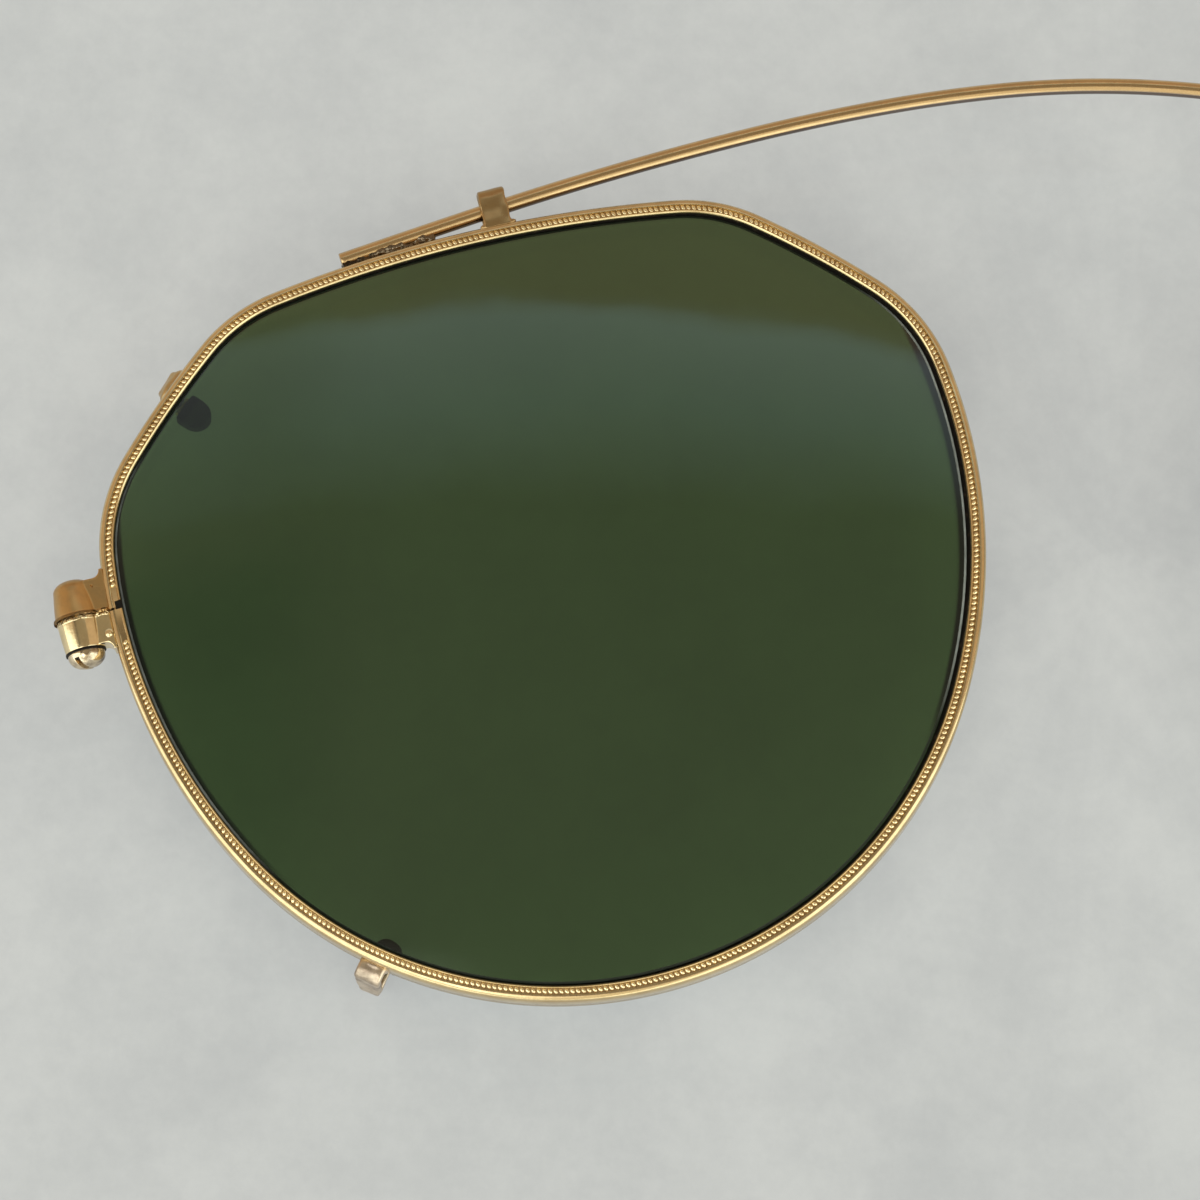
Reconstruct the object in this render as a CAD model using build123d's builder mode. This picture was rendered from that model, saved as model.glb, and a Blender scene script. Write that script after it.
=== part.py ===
from build123d import *
import os
from math import cos, hypot, radians, sin, sqrt

# Spring-bow clip-on lenses: two green glass lenses in gold-filled rims, joined by one
# springy bow wire and carried on four hooked claws that grip a pair of spectacles.
#
# The wearer's right lens unit is built in its own level frame: origin on the optical axis
# at the height of the feet, X across the lens, Y towards the brow, Z out of the lens front.
# It is then turned by UNIT_TILT and hung on the bow.  The left unit is its mirror image.
# The finished part stands on the pads of its claws, and its origin is the middle of its
# bottom.

# ---- lens opening, seen from the front
BOTTOM_RADIUS = 20.92
BOTTOM_ARC_CENTRE = 0.45      # height of the centre of the round bottom
BOTTOM_ARC_END = 28.9         # degrees below level where the round bottom runs into a side
SIDE_RADIUS = 28.34           # the sides are flatter arcs
SIDE_CORNER_Y = 9.8           # where a side meets the diagonal
TOP_CORNER_X = 12.7
TOP_CORNER_Y = 17.84
TOP_MIDDLE_Y = 18.89
DIAGONAL_BULGE = 0.32
SIDE_CORNER_RADIUS = 8.2
TOP_CORNER_RADIUS = 7.6

# ---- rim and lens, with depths measured down from the rim's front
LENS_FRONT_CURVE = 110.0      # radius of the lens's front surface
LENS_THICKNESS = 1.4
LENS_RECESS = 0.35            # lens front under the rim's front, at the edge
LENS_CLEARANCE = 0.03
SAFETY_BEVEL = 0.2
RIM_WIDTH = 0.81
RIM_DEPTH = 1.7
RIM_ROUNDING = 0.22           # on the outer edges, front and back
GROOVE_DEPTH = 0.3            # how far the lens's bevel stands into the rim
GROOVE_TOP = 0.7
GROOVE_HEIGHT = 0.65
BEAD_BAND_INSET = 0.16        # polished lip between the opening and the milled band
BEAD_BAND_WIDTH = 0.28
BEAD_BAND_DEPTH = 0.08
RIM_SPLIT = 0.12              # saw cut through the rim at the closing block
NOTCH = 0.4                   # wider part of that cut, at the inner lip

# ---- closing block on the temple side: a keg in two halves, drawn together by a screw
PARTING_Y = 4.42
BLOCK_STANDOFF = 1.56         # screw axis outside the rim's outer wall
BLOCK_RADIUS = 1.2
BLOCK_FOOT_RADIUS = 1.08
BLOCK_UPPER_HEIGHT = 2.18
BLOCK_LOWER_HEIGHT = 1.65
BLOCK_DOME_START = 0.76       # share of the upper height where the dome begins
BLOCK_DOME_RADIUS = 1.02
DOME_FULLNESS = 0.72          # the dome's middle, as a share of its radius and of its rise
KEG_FLATNESS = 0.2            # sides of the keg: 0.5 would be straight, less is fuller
PARTING_GAP = 0.08
WEB_THICKNESS = 1.5
WEB_FLARE = 0.4
WEB_TOP_INSET = 0.28
WEB_BOTTOM_INSET = 0.1
SCREW_DIAMETER = 1.1
SCREW_CLEARANCE = 0.02
SCREW_END_MARGIN = 0.45       # solid metal left above the screw's tip
HEAD_DIAMETER = 1.95
HEAD_HEIGHT = 0.86
HEAD_EDGE = 0.2               # straight edge of the head under its rounded top
HEAD_CROWN_SPREAD = 0.3       # a point of the rounding, as shares of the head's width
HEAD_CROWN_RISE = 0.8         # and of its height
SLOT_WIDTH = 0.28
SLOT_DEPTH = 0.5
SLOT_ANGLE = 58.0             # turn of the screw's slot about its axis

# ---- claws: strips bent to hooks, each with a soft pad on its tip
CLAW_THICKNESS = 0.4
CLAW_WIDTH = 1.4
CLAW_TIP_WIDTH = 1.0
CLAW_THROAT = 2.7             # free height between pad and rim
UPPER_CLAW_BULGE = 0.54       # how far the hooks stand out from the rim
LOWER_CLAW_BULGE = 0.92
CLAW_BEND = 0.32              # radius of the strip's middle at its two bends
CLAW_REACH = 2.05             # how far the pad reaches in from the rim's outer wall
UPPER_CLAW_SHIFT = 1.25       # along the diagonal from its middle, towards the top
LOWER_CLAW_ANGLE = 231.3      # about the centre of the round bottom
PAD_LENGTH = 1.55
PAD_WIDTH = 1.6
PAD_THICKNESS = 0.95
PAD_ROUNDING = 0.2
PAD_COVER = 0.25              # pad beyond the tip of the strip, and under it

# ---- bow wire, and what holds it on the rim
WIRE_DIAMETER = 0.82
WIRE_END_CHAMFER = 0.06
UNIT_TILT = 13.7              # turn of the relaxed lens unit, nasal side up
BOW_ROOT_SLOPE = 6.2          # slope of the wire's root against the level lens unit
BOW_TOUCH_X = -6.7            # where it touches the rim's top wall
BOW_TAIL = 0.17               # wire past that point
# Radius of each arc of half a bow, from root to crown, and its share of the whole turn.
BOW_ARCS = [(860.0, 0.5), (177.0, 4.7), (105.0, 4.5), (72.0, 4.3), (50.4, 5.9)]
BRAZE_GAP = 0.085
BRAZE_START = -0.1            # along the wire from where it touches the rim
BRAZE_END = 4.9
BRAZE_THICKNESS = 0.66
KEEPER_X = 1.53
KEEPER_WIDTH = 1.42
KEEPER_HEIGHT = 2.12
KEEPER_THICKNESS = 0.27
KEEPER_PLAY = 0.12            # wire to strap, front and back
KEEPER_CORNER = 0.3           # rounding of the strap's far corners, seen from the front
KEEPER_BEND = 0.6             # outer radius where the strap folds over the wire

# ---- worked out from the sizes above
RIM_SPHERE = LENS_FRONT_CURVE + LENS_RECESS
RIM_BACK = PAD_THICKNESS + CLAW_THROAT
SIDE_ARC_X = (BOTTOM_RADIUS - SIDE_RADIUS) * cos(radians(BOTTOM_ARC_END))
SIDE_ARC_Y = BOTTOM_ARC_CENTRE - (BOTTOM_RADIUS - SIDE_RADIUS) * sin(radians(BOTTOM_ARC_END))
SPHERE_CENTRE = RIM_BACK - sqrt((RIM_SPHERE - RIM_DEPTH) ** 2 - BOTTOM_RADIUS**2)
TALL = 4 * (RIM_BACK + RIM_DEPTH)
TOP_RISE = TOP_MIDDLE_Y - TOP_CORNER_Y
TOP_ARC_RADIUS = (TOP_CORNER_X**2 + TOP_RISE**2) / (2 * TOP_RISE)
WIRE_RADIUS = WIRE_DIAMETER / 2


def surface_height(radius, depth):
    """Height over the feet of the layer that lies depth under the rim's front."""
    return SPHERE_CENTRE + sqrt((RIM_SPHERE - depth) ** 2 - radius**2)


def side_x(y):
    """Half the width of the opening at a height of its sides."""
    return SIDE_ARC_X + sqrt(SIDE_RADIUS**2 - (y - SIDE_ARC_Y) ** 2)


SIDE_CORNER_X = side_x(SIDE_CORNER_Y)
WIRE_HEIGHT = surface_height(TOP_MIDDLE_Y + RIM_WIDTH, RIM_DEPTH / 2)
OPENING_SIDE_X = -side_x(PARTING_Y)
RIM_WALL_X = OPENING_SIDE_X - RIM_WIDTH
BLOCK_X = RIM_WALL_X - BLOCK_STANDOFF
BLOCK_Z = surface_height(hypot(RIM_WALL_X, PARTING_Y), RIM_DEPTH / 2)


# ---- outlines -------------------------------------------------------------------------


def lens_opening():
    """The opening of the rim: round bottom, bowed sides, two diagonals, bowed top."""
    side_middle = (SIDE_CORNER_X + TOP_CORNER_X) / 2
    rise_middle = (SIDE_CORNER_Y + TOP_CORNER_Y) / 2
    slope = Vector(TOP_CORNER_X - SIDE_CORNER_X, TOP_CORNER_Y - SIDE_CORNER_Y).normalized()
    bulge = Vector(slope.Y, -slope.X) * DIAGONAL_BULGE
    middle = Vector(side_middle, rise_middle) + bulge
    bottom = BOTTOM_ARC_CENTRE - BOTTOM_RADIUS
    foot_x = BOTTOM_RADIUS * cos(radians(BOTTOM_ARC_END))
    foot_y = BOTTOM_ARC_CENTRE - BOTTOM_RADIUS * sin(radians(BOTTOM_ARC_END))
    waist_y = (SIDE_CORNER_Y + foot_y) / 2
    with BuildSketch() as opening:
        with BuildLine():
            for side in (-1, 1):
                top = (side * TOP_CORNER_X, TOP_CORNER_Y)
                corner = (side * SIDE_CORNER_X, SIDE_CORNER_Y)
                foot = (side * foot_x, foot_y)
                ThreePointArc(top, (side * middle.X, middle.Y), corner)
                ThreePointArc(corner, (side * side_x(waist_y), waist_y), foot)
            ThreePointArc((-foot_x, foot_y), (0, bottom), (foot_x, foot_y))
            ThreePointArc((-TOP_CORNER_X, TOP_CORNER_Y), (0, TOP_MIDDLE_Y), (TOP_CORNER_X, TOP_CORNER_Y))
        make_face()
        corners = opening.vertices().sort_by(Axis.Y)
        fillet(corners[-2:], TOP_CORNER_RADIUS)
        corners = opening.vertices().sort_by(lambda v: abs(v.Y - SIDE_CORNER_Y))
        fillet(corners[:2], SIDE_CORNER_RADIUS)
    return opening.sketch


OPENING = lens_opening()


def grown_opening(growth):
    """The opening grown outwards by growth, or shrunk where growth is below zero."""
    if growth == 0:
        return OPENING
    with BuildSketch() as outline:
        add(OPENING)
        offset(amount=growth, kind=Kind.ARC)
    return outline.sketch


def column(growth):
    """A tall straight solid on the grown opening."""
    with BuildPart() as straight:
        add(grown_opening(growth))
        extrude(amount=TALL, both=True)
    return straight.part


def curved_layer(growth, top, bottom):
    """The part of a column between two depths under the curved front of the rim."""
    with BuildPart() as layer:
        add(column(growth))
        with Locations((0, 0, SPHERE_CENTRE)):
            Sphere(RIM_SPHERE - top, rotation=(90, 0, 0), mode=Mode.INTERSECT)
            Sphere(RIM_SPHERE - bottom, rotation=(90, 0, 0), mode=Mode.SUBTRACT)
    return layer.part


def front_of(layer):
    """The highest solid of a layer; a tall column can also cut the far side of the sphere."""
    return layer.solids().sort_by(Axis.Z)[-1]


# ---- lens and rim ---------------------------------------------------------------------


def make_lens():
    """Green glass, curved, with a tongue round its edge and its sharp corners taken off."""
    with BuildPart() as lens:
        add(front_of(curved_layer(-LENS_CLEARANCE, LENS_RECESS, LENS_RECESS + LENS_THICKNESS)))
        faces = lens.faces().sort_by(Axis.Z)
        chamfer(faces[-1].edges(), SAFETY_BEVEL)
        tongue_top = GROOVE_TOP + LENS_CLEARANCE
        tongue_bottom = GROOVE_TOP + GROOVE_HEIGHT - LENS_CLEARANCE
        add(front_of(curved_layer(GROOVE_DEPTH - LENS_CLEARANCE, tongue_top, tongue_bottom)))
    return lens


def make_rim():
    """Grooved rim with a milled band on its front, sawn through at the closing block."""
    with BuildPart() as rim:
        add(front_of(curved_layer(RIM_WIDTH, 0, RIM_DEPTH)))
        faces = rim.faces().sort_by(lambda face: -face.area)
        fillet(faces[0].edges() + faces[1].edges(), RIM_ROUNDING)
        add(column(0), mode=Mode.SUBTRACT)
        add(curved_layer(GROOVE_DEPTH, GROOVE_TOP, GROOVE_TOP + GROOVE_HEIGHT), mode=Mode.SUBTRACT)
        add(bead_band(), mode=Mode.SUBTRACT)
        with Locations((OPENING_SIDE_X - RIM_WIDTH / 2, PARTING_Y, 0)):
            Box(3 * RIM_WIDTH, RIM_SPLIT, TALL, mode=Mode.SUBTRACT)
        with Locations((OPENING_SIDE_X, PARTING_Y + NOTCH / 2, 0)):
            Box(2 * BEAD_BAND_INSET, NOTCH, TALL, mode=Mode.SUBTRACT)
    return rim


def bead_band():
    """The shallow band round the rim's front that holds the milled grains."""
    with BuildPart() as band:
        add(curved_layer(BEAD_BAND_INSET + BEAD_BAND_WIDTH, -RIM_DEPTH, BEAD_BAND_DEPTH))
        add(column(BEAD_BAND_INSET), mode=Mode.SUBTRACT)
    return band.part


# ---- closing block --------------------------------------------------------------------


def keg_outline(top, bottom):
    """Half of the keg's profile, from its axis round its swollen wall to its dome."""
    dome = PARTING_Y + BLOCK_DOME_START * BLOCK_UPPER_HEIGHT
    waist = BLOCK_X - BLOCK_RADIUS
    foot = BLOCK_X - BLOCK_FOOT_RADIUS
    dome_edge = BLOCK_X - BLOCK_DOME_RADIUS
    lower_middle = (waist + KEG_FLATNESS * (foot - waist), (PARTING_Y + bottom) / 2)
    upper_middle = (waist + KEG_FLATNESS * (dome_edge - waist), (PARTING_Y + dome) / 2)
    dome_middle = (BLOCK_X - DOME_FULLNESS * BLOCK_DOME_RADIUS, dome + DOME_FULLNESS * (top - dome))
    Polyline((BLOCK_X, top), (BLOCK_X, bottom), (foot, bottom))
    ThreePointArc((foot, bottom), lower_middle, (waist, PARTING_Y))
    ThreePointArc((waist, PARTING_Y), upper_middle, (dome_edge, dome))
    ThreePointArc((dome_edge, dome), dome_middle, (BLOCK_X, top))


def web_outline(top, bottom):
    """The web from the keg's axis to the middle of the rim, flared where it meets the rim."""
    upper = top - WEB_TOP_INSET
    lower = bottom + WEB_BOTTOM_INSET
    neck = RIM_WALL_X - WEB_FLARE
    root = RIM_WALL_X + RIM_WIDTH / 2
    wall_low = (RIM_WALL_X, lower - WEB_FLARE)
    wall_high = (RIM_WALL_X, upper + WEB_FLARE)
    Polyline((neck, upper), (BLOCK_X, upper), (BLOCK_X, lower), (neck, lower))
    RadiusArc((neck, lower), wall_low, WEB_FLARE, short_sagitta=True)
    Polyline(wall_low, (root, wall_low[1]), (root, wall_high[1]), wall_high)
    RadiusArc(wall_high, (neck, upper), WEB_FLARE, short_sagitta=True)


def block_blank():
    """Both halves of the closing block in one, with the web that joins it to the rim."""
    top = PARTING_Y + BLOCK_UPPER_HEIGHT
    bottom = PARTING_Y - BLOCK_LOWER_HEIGHT
    with BuildPart() as block:
        with BuildSketch(Plane.XY.offset(BLOCK_Z)):
            with BuildLine():
                keg_outline(top, bottom)
            make_face()
        revolve(axis=Axis((BLOCK_X, 0, BLOCK_Z), (0, 1, 0)))
        with BuildSketch(Plane.XY.offset(BLOCK_Z)):
            with BuildLine():
                web_outline(top, bottom)
            make_face()
        extrude(amount=WEB_THICKNESS / 2, both=True)
        add(column(RIM_WIDTH), mode=Mode.SUBTRACT)
        with BuildSketch(Plane(origin=(BLOCK_X, bottom, BLOCK_Z), x_dir=(1, 0, 0), z_dir=(0, 1, 0))):
            Circle(SCREW_DIAMETER / 2 + SCREW_CLEARANCE)
        extrude(amount=top - SCREW_END_MARGIN - bottom, mode=Mode.SUBTRACT)
    return block.part


def make_block_half(blank, side):
    """The half of the block above (side 1) or below (side -1) the parting line."""
    face = Plane(origin=(0, PARTING_Y + side * PARTING_GAP / 2, 0), x_dir=(1, 0, 0), z_dir=(0, side, 0))
    with BuildPart() as half:
        add(blank)
        split(bisect_by=face, keep=Keep.TOP)
    return half


def make_screw():
    """Round-headed slotted screw, put in from below; its thread is left plain."""
    seat = PARTING_Y - BLOCK_LOWER_HEIGHT
    tip = PARTING_Y + BLOCK_UPPER_HEIGHT - SCREW_END_MARGIN - SCREW_CLEARANCE
    head_edge = BLOCK_X - HEAD_DIAMETER / 2
    shank_edge = BLOCK_X - SCREW_DIAMETER / 2
    rim_of_head = seat - HEAD_EDGE
    with BuildPart() as screw:
        with BuildSketch(Plane.XY.offset(BLOCK_Z)):
            with BuildLine():
                Polyline(
                    (BLOCK_X, seat - HEAD_HEIGHT),
                    (BLOCK_X, tip),
                    (shank_edge, tip),
                    (shank_edge, seat),
                    (head_edge, seat),
                    (head_edge, rim_of_head),
                )
                ThreePointArc(
                    (head_edge, rim_of_head),
                    (BLOCK_X - HEAD_CROWN_SPREAD * HEAD_DIAMETER, seat - HEAD_CROWN_RISE * HEAD_HEIGHT),
                    (BLOCK_X, seat - HEAD_HEIGHT),
                )
            make_face()
        revolve(axis=Axis((BLOCK_X, 0, BLOCK_Z), (0, 1, 0)))
        slot_floor = Plane(
            origin=(BLOCK_X, seat - HEAD_HEIGHT + SLOT_DEPTH, BLOCK_Z),
            x_dir=(sin(radians(SLOT_ANGLE)), 0, cos(radians(SLOT_ANGLE))),
            z_dir=(0, -1, 0),
        )
        with BuildSketch(slot_floor):
            Rectangle(2 * HEAD_DIAMETER, SLOT_WIDTH)
        extrude(amount=HEAD_HEIGHT, mode=Mode.SUBTRACT)
    return screw


# ---- claws ----------------------------------------------------------------------------


def claw_frame(point, outward):
    """Upright plane through a claw: its X points outwards, its Y up."""
    return Plane(
        origin=(point.X, point.Y, 0), x_dir=(outward.X, outward.Y, 0), z_dir=(outward.Y, -outward.X, 0)
    )


def upper_claw_frame():
    """The upper claw sits on the temple-side diagonal, square to it."""
    along = Vector(SIDE_CORNER_X - TOP_CORNER_X, TOP_CORNER_Y - SIDE_CORNER_Y).normalized()
    outward = Vector(-along.Y, along.X)
    middle = Vector(-(SIDE_CORNER_X + TOP_CORNER_X) / 2, (SIDE_CORNER_Y + TOP_CORNER_Y) / 2)
    point = middle + along * UPPER_CLAW_SHIFT + outward * (DIAGONAL_BULGE + RIM_WIDTH)
    return claw_frame(point, outward)


def lower_claw_frame():
    """The lower claw sits on the round bottom, square to it."""
    outward = Vector(cos(radians(LOWER_CLAW_ANGLE)), sin(radians(LOWER_CLAW_ANGLE)))
    point = Vector(0, BOTTOM_ARC_CENTRE) + outward * (BOTTOM_RADIUS + RIM_WIDTH)
    return claw_frame(point, outward)


def make_claw(frame, bulge):
    """A strip that leaves the rim's wall by bulge, bends down and hooks back under the lens."""
    origin = frame.origin
    root_height = surface_height(hypot(origin.X, origin.Y), RIM_DEPTH / 2)
    leg = bulge - CLAW_THICKNESS / 2
    foot = PAD_COVER + CLAW_THICKNESS / 2
    tip = -(CLAW_REACH - PAD_COVER)
    plan = Plane(origin=origin, x_dir=frame.x_dir, z_dir=(0, 0, 1))
    waist = -RIM_WIDTH
    with BuildPart() as claw:
        with BuildSketch(frame):
            with BuildLine():
                FilletPolyline(
                    (-RIM_WIDTH / 2, root_height),
                    (leg, root_height),
                    (leg, foot),
                    (tip, foot),
                    radius=CLAW_BEND,
                )
            trace(line_width=CLAW_THICKNESS)
        extrude(amount=CLAW_WIDTH, both=True)
        with BuildSketch(plan):
            with BuildLine():
                Polyline(
                    (bulge + CLAW_THICKNESS, -CLAW_WIDTH / 2),
                    (waist, -CLAW_WIDTH / 2),
                    (tip - CLAW_THICKNESS, -CLAW_TIP_WIDTH / 2),
                    (tip - CLAW_THICKNESS, CLAW_TIP_WIDTH / 2),
                    (waist, CLAW_WIDTH / 2),
                    (bulge + CLAW_THICKNESS, CLAW_WIDTH / 2),
                    close=True,
                )
            make_face()
        extrude(amount=TALL, both=True, mode=Mode.INTERSECT)
        add(column(RIM_WIDTH) & above_plane(root_height - RIM_DEPTH), mode=Mode.SUBTRACT)
    return claw


def above_plane(height):
    """A large block over a height, to keep only the upper part of a column."""
    with BuildPart() as block:
        with BuildSketch(Plane.XY.offset(height)):
            Rectangle(4 * SIDE_RADIUS, 4 * SIDE_RADIUS)
        extrude(amount=TALL)
    return block.part


def make_pad(frame, claw):
    """A soft D-shaped boot on the tip of a claw; its underside is a foot of the part."""
    plan = Plane(origin=frame.origin, x_dir=frame.x_dir, z_dir=(0, 0, 1))
    straight = PAD_LENGTH - PAD_WIDTH / 2
    centre = -(CLAW_REACH - PAD_WIDTH / 2)
    with BuildPart() as pad:
        with BuildSketch(plan):
            with Locations((centre, 0)):
                Circle(PAD_WIDTH / 2)
            with Locations((centre + straight / 2, 0)):
                Rectangle(straight, PAD_WIDTH)
        extrude(amount=PAD_THICKNESS)
        fillet(pad.faces().sort_by(Axis.Z)[-1].edges(), PAD_ROUNDING)
        add(claw.part, mode=Mode.SUBTRACT)
    return pad


# ---- bow wire, its braze and its keeper ------------------------------------------------


def bow_headings():
    """Slope of half a bow at the ends of its arcs, from the root down to level."""
    turn = BOW_ROOT_SLOPE + UNIT_TILT
    shares = sum(share for _, share in BOW_ARCS)
    headings = [turn]
    for _, share in BOW_ARCS:
        headings.append(headings[-1] - turn * share / shares)
    return headings


def bow_touch():
    """Where the wire touches the rim's top wall, seen from the crown of the bow."""
    headings = bow_headings()
    across = 0
    rise = 0
    for (radius, _), first, last in zip(BOW_ARCS, headings, headings[1:]):
        across += radius * (sin(radians(first)) - sin(radians(last)))
        rise += radius * (cos(radians(last)) - cos(radians(first)))
    return Vector(-across, -rise)


def touch_in_unit():
    """The same place in the unit frame: the wire's axis beside the bowed top wall."""
    reach = TOP_ARC_RADIUS + RIM_WIDTH + BRAZE_GAP + WIRE_RADIUS
    centre = TOP_MIDDLE_Y - TOP_ARC_RADIUS
    return Vector(BOW_TOUCH_X, centre + sqrt(reach**2 - BOW_TOUCH_X**2))


def unit_place():
    """Turn and place of the right unit, with the crown of the bow at the origin."""
    corner = bow_touch() - touch_in_unit().rotate(Axis.Z, UNIT_TILT)
    return Location((corner.X, corner.Y, 0), (0, 0, UNIT_TILT))


def make_bow():
    """One round wire from tail to tail, bent as tangent arcs."""
    headings = bow_headings()
    turns = [last - first for first, last in zip(headings, headings[1:])]
    arcs = [(radius, turn) for (radius, _), turn in zip(BOW_ARCS, turns)]
    root = headings[0]
    tail = Vector(cos(radians(root)), sin(radians(root))) * BOW_TAIL
    touch = bow_touch() + Vector(0, 0, WIRE_HEIGHT)
    with BuildPart() as bow:
        with BuildLine() as path:
            run = Line(touch - tail, touch)
            for radius, turn in arcs + arcs[::-1]:
                run = JernArc(start=run @ 1, tangent=run % 1, radius=radius, arc_size=turn)
            Line(run @ 1, run @ 1 + (run % 1) * BOW_TAIL)
        with BuildSketch(Plane(origin=path.line @ 0, z_dir=path.line % 0)):
            Circle(WIRE_RADIUS)
        sweep()
        chamfer(bow.edges().filter_by(GeomType.CIRCLE).sort_by(Axis.X)[0], WIRE_END_CHAMFER)
        chamfer(bow.edges().filter_by(GeomType.CIRCLE).sort_by(Axis.X)[-1], WIRE_END_CHAMFER)
    return bow


def make_braze(bow_in_unit):
    """The run of solder between the wire and the rim's top wall."""
    touch = touch_in_unit()
    frame = Plane(
        origin=(touch.X, touch.Y, WIRE_HEIGHT),
        x_dir=(cos(radians(BOW_ROOT_SLOPE)), sin(radians(BOW_ROOT_SLOPE)), 0),
        z_dir=(0, 0, 1),
    )
    with BuildPart() as braze:
        with BuildSketch(frame):
            with Locations(((BRAZE_START + BRAZE_END) / 2, -WIRE_RADIUS)):
                Rectangle(BRAZE_END - BRAZE_START, 2 * WIRE_RADIUS)
        extrude(amount=BRAZE_THICKNESS / 2, both=True)
        add(column(RIM_WIDTH), mode=Mode.SUBTRACT)
        add(bow_in_unit, mode=Mode.SUBTRACT)
    return braze


def make_keeper():
    """A strap brazed to the rim that loops over the wire and keeps it beside the rim."""
    wall = TOP_MIDDLE_Y + RIM_WIDTH
    inside = WIRE_RADIUS + KEEPER_PLAY
    outside = inside + KEEPER_THICKNESS
    side = Plane(origin=(KEEPER_X, wall, WIRE_HEIGHT), x_dir=(0, 1, 0), z_dir=(1, 0, 0))
    plan = Plane(origin=(KEEPER_X, wall, WIRE_HEIGHT), z_dir=(0, 0, 1))
    with BuildPart() as keeper:
        with BuildSketch(side) as loop:
            with Locations((KEEPER_HEIGHT / 2 - RIM_WIDTH / 2, 0)):
                Rectangle(KEEPER_HEIGHT + RIM_WIDTH, 2 * outside)
            far = loop.vertices().group_by(Axis.X)[-1]
            fillet(far, KEEPER_BEND)
            with Locations(((KEEPER_HEIGHT - KEEPER_THICKNESS - RIM_WIDTH) / 2, 0)):
                Rectangle(KEEPER_HEIGHT - KEEPER_THICKNESS + RIM_WIDTH, 2 * inside, mode=Mode.SUBTRACT)
        extrude(amount=KEEPER_WIDTH / 2, both=True)
        with BuildSketch(plan) as front:
            Rectangle(KEEPER_WIDTH, 2 * KEEPER_HEIGHT)
            fillet(front.vertices().group_by(Axis.Y)[-1], KEEPER_CORNER)
        extrude(amount=TALL, both=True, mode=Mode.INTERSECT)
        add(column(RIM_WIDTH), mode=Mode.SUBTRACT)
    return keeper


# ---- the whole part -------------------------------------------------------------------


def make_unit(bow):
    """Every piece of the wearer's right lens unit, by name, in the unit frame."""
    blank = block_blank()
    upper = upper_claw_frame()
    lower = lower_claw_frame()
    unit = {
        "rim": make_rim(),
        "lens": make_lens(),
        "closing_block_upper": make_block_half(blank, 1),
        "closing_block_lower": make_block_half(blank, -1),
        "closing_screw": make_screw(),
        "upper_claw": make_claw(upper, UPPER_CLAW_BULGE),
        "lower_claw": make_claw(lower, LOWER_CLAW_BULGE),
        "wire_braze": make_braze(bow.part.moved(unit_place().inverse())),
        "wire_keeper": make_keeper(),
    }
    unit["upper_claw_pad"] = make_pad(upper, unit["upper_claw"])
    unit["lower_claw_pad"] = make_pad(lower, unit["lower_claw"])
    return unit


def hang(piece):
    """Bring a piece of the right unit to its place on the bow."""
    with BuildPart() as hung:
        add(piece.part.moved(unit_place()))
    return hung


def mirrored(piece):
    """The same piece of the wearer's left unit."""
    with BuildPart() as left:
        mirror(piece.part, about=Plane.YZ)
    return left


def main():
    bow = make_bow()
    pieces = {"bow_wire": bow}
    for name, piece in make_unit(bow).items():
        pieces["right_" + name] = hang(piece)
        pieces["left_" + name] = mirrored(pieces["right_" + name])
    boxes = [piece.part.bounding_box() for piece in pieces.values()]
    middle = (min(box.min.Y for box in boxes) + max(box.max.Y for box in boxes)) / 2
    os.makedirs("parts", exist_ok=True)
    for name, piece in pieces.items():
        piece.part.move(Location((0, -middle, 0)))
        piece.part.label = name
        export_step(piece.part, f"parts/{name}.step")
    print("crown of the bow at y", round(-middle, 4), "z", round(WIRE_HEIGHT, 4))
    print("unit origin", unit_place().position + Vector(0, -middle))


main()
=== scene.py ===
"""Dressed model of a pair of spring-bow clip-on lenses.

Two green glass lenses in gold-filled rims hang from one springy bow wire, and four hooked
claws with black boots carry the pair on a spectacle frame.  The wearer's right lens unit is
modelled in its own level frame, turned and hung on the bow, and the left one is a mirrored
copy.  The CAD frame gives the bodies, and every piece here rides on one of them.
"""

import logging
import math
from bisect import bisect_right
from contextlib import contextmanager
from dataclasses import dataclass, field
from enum import Enum
from typing import Callable, Iterator, Sequence

import bpy
from mathutils import Matrix, Vector, noise

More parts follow.
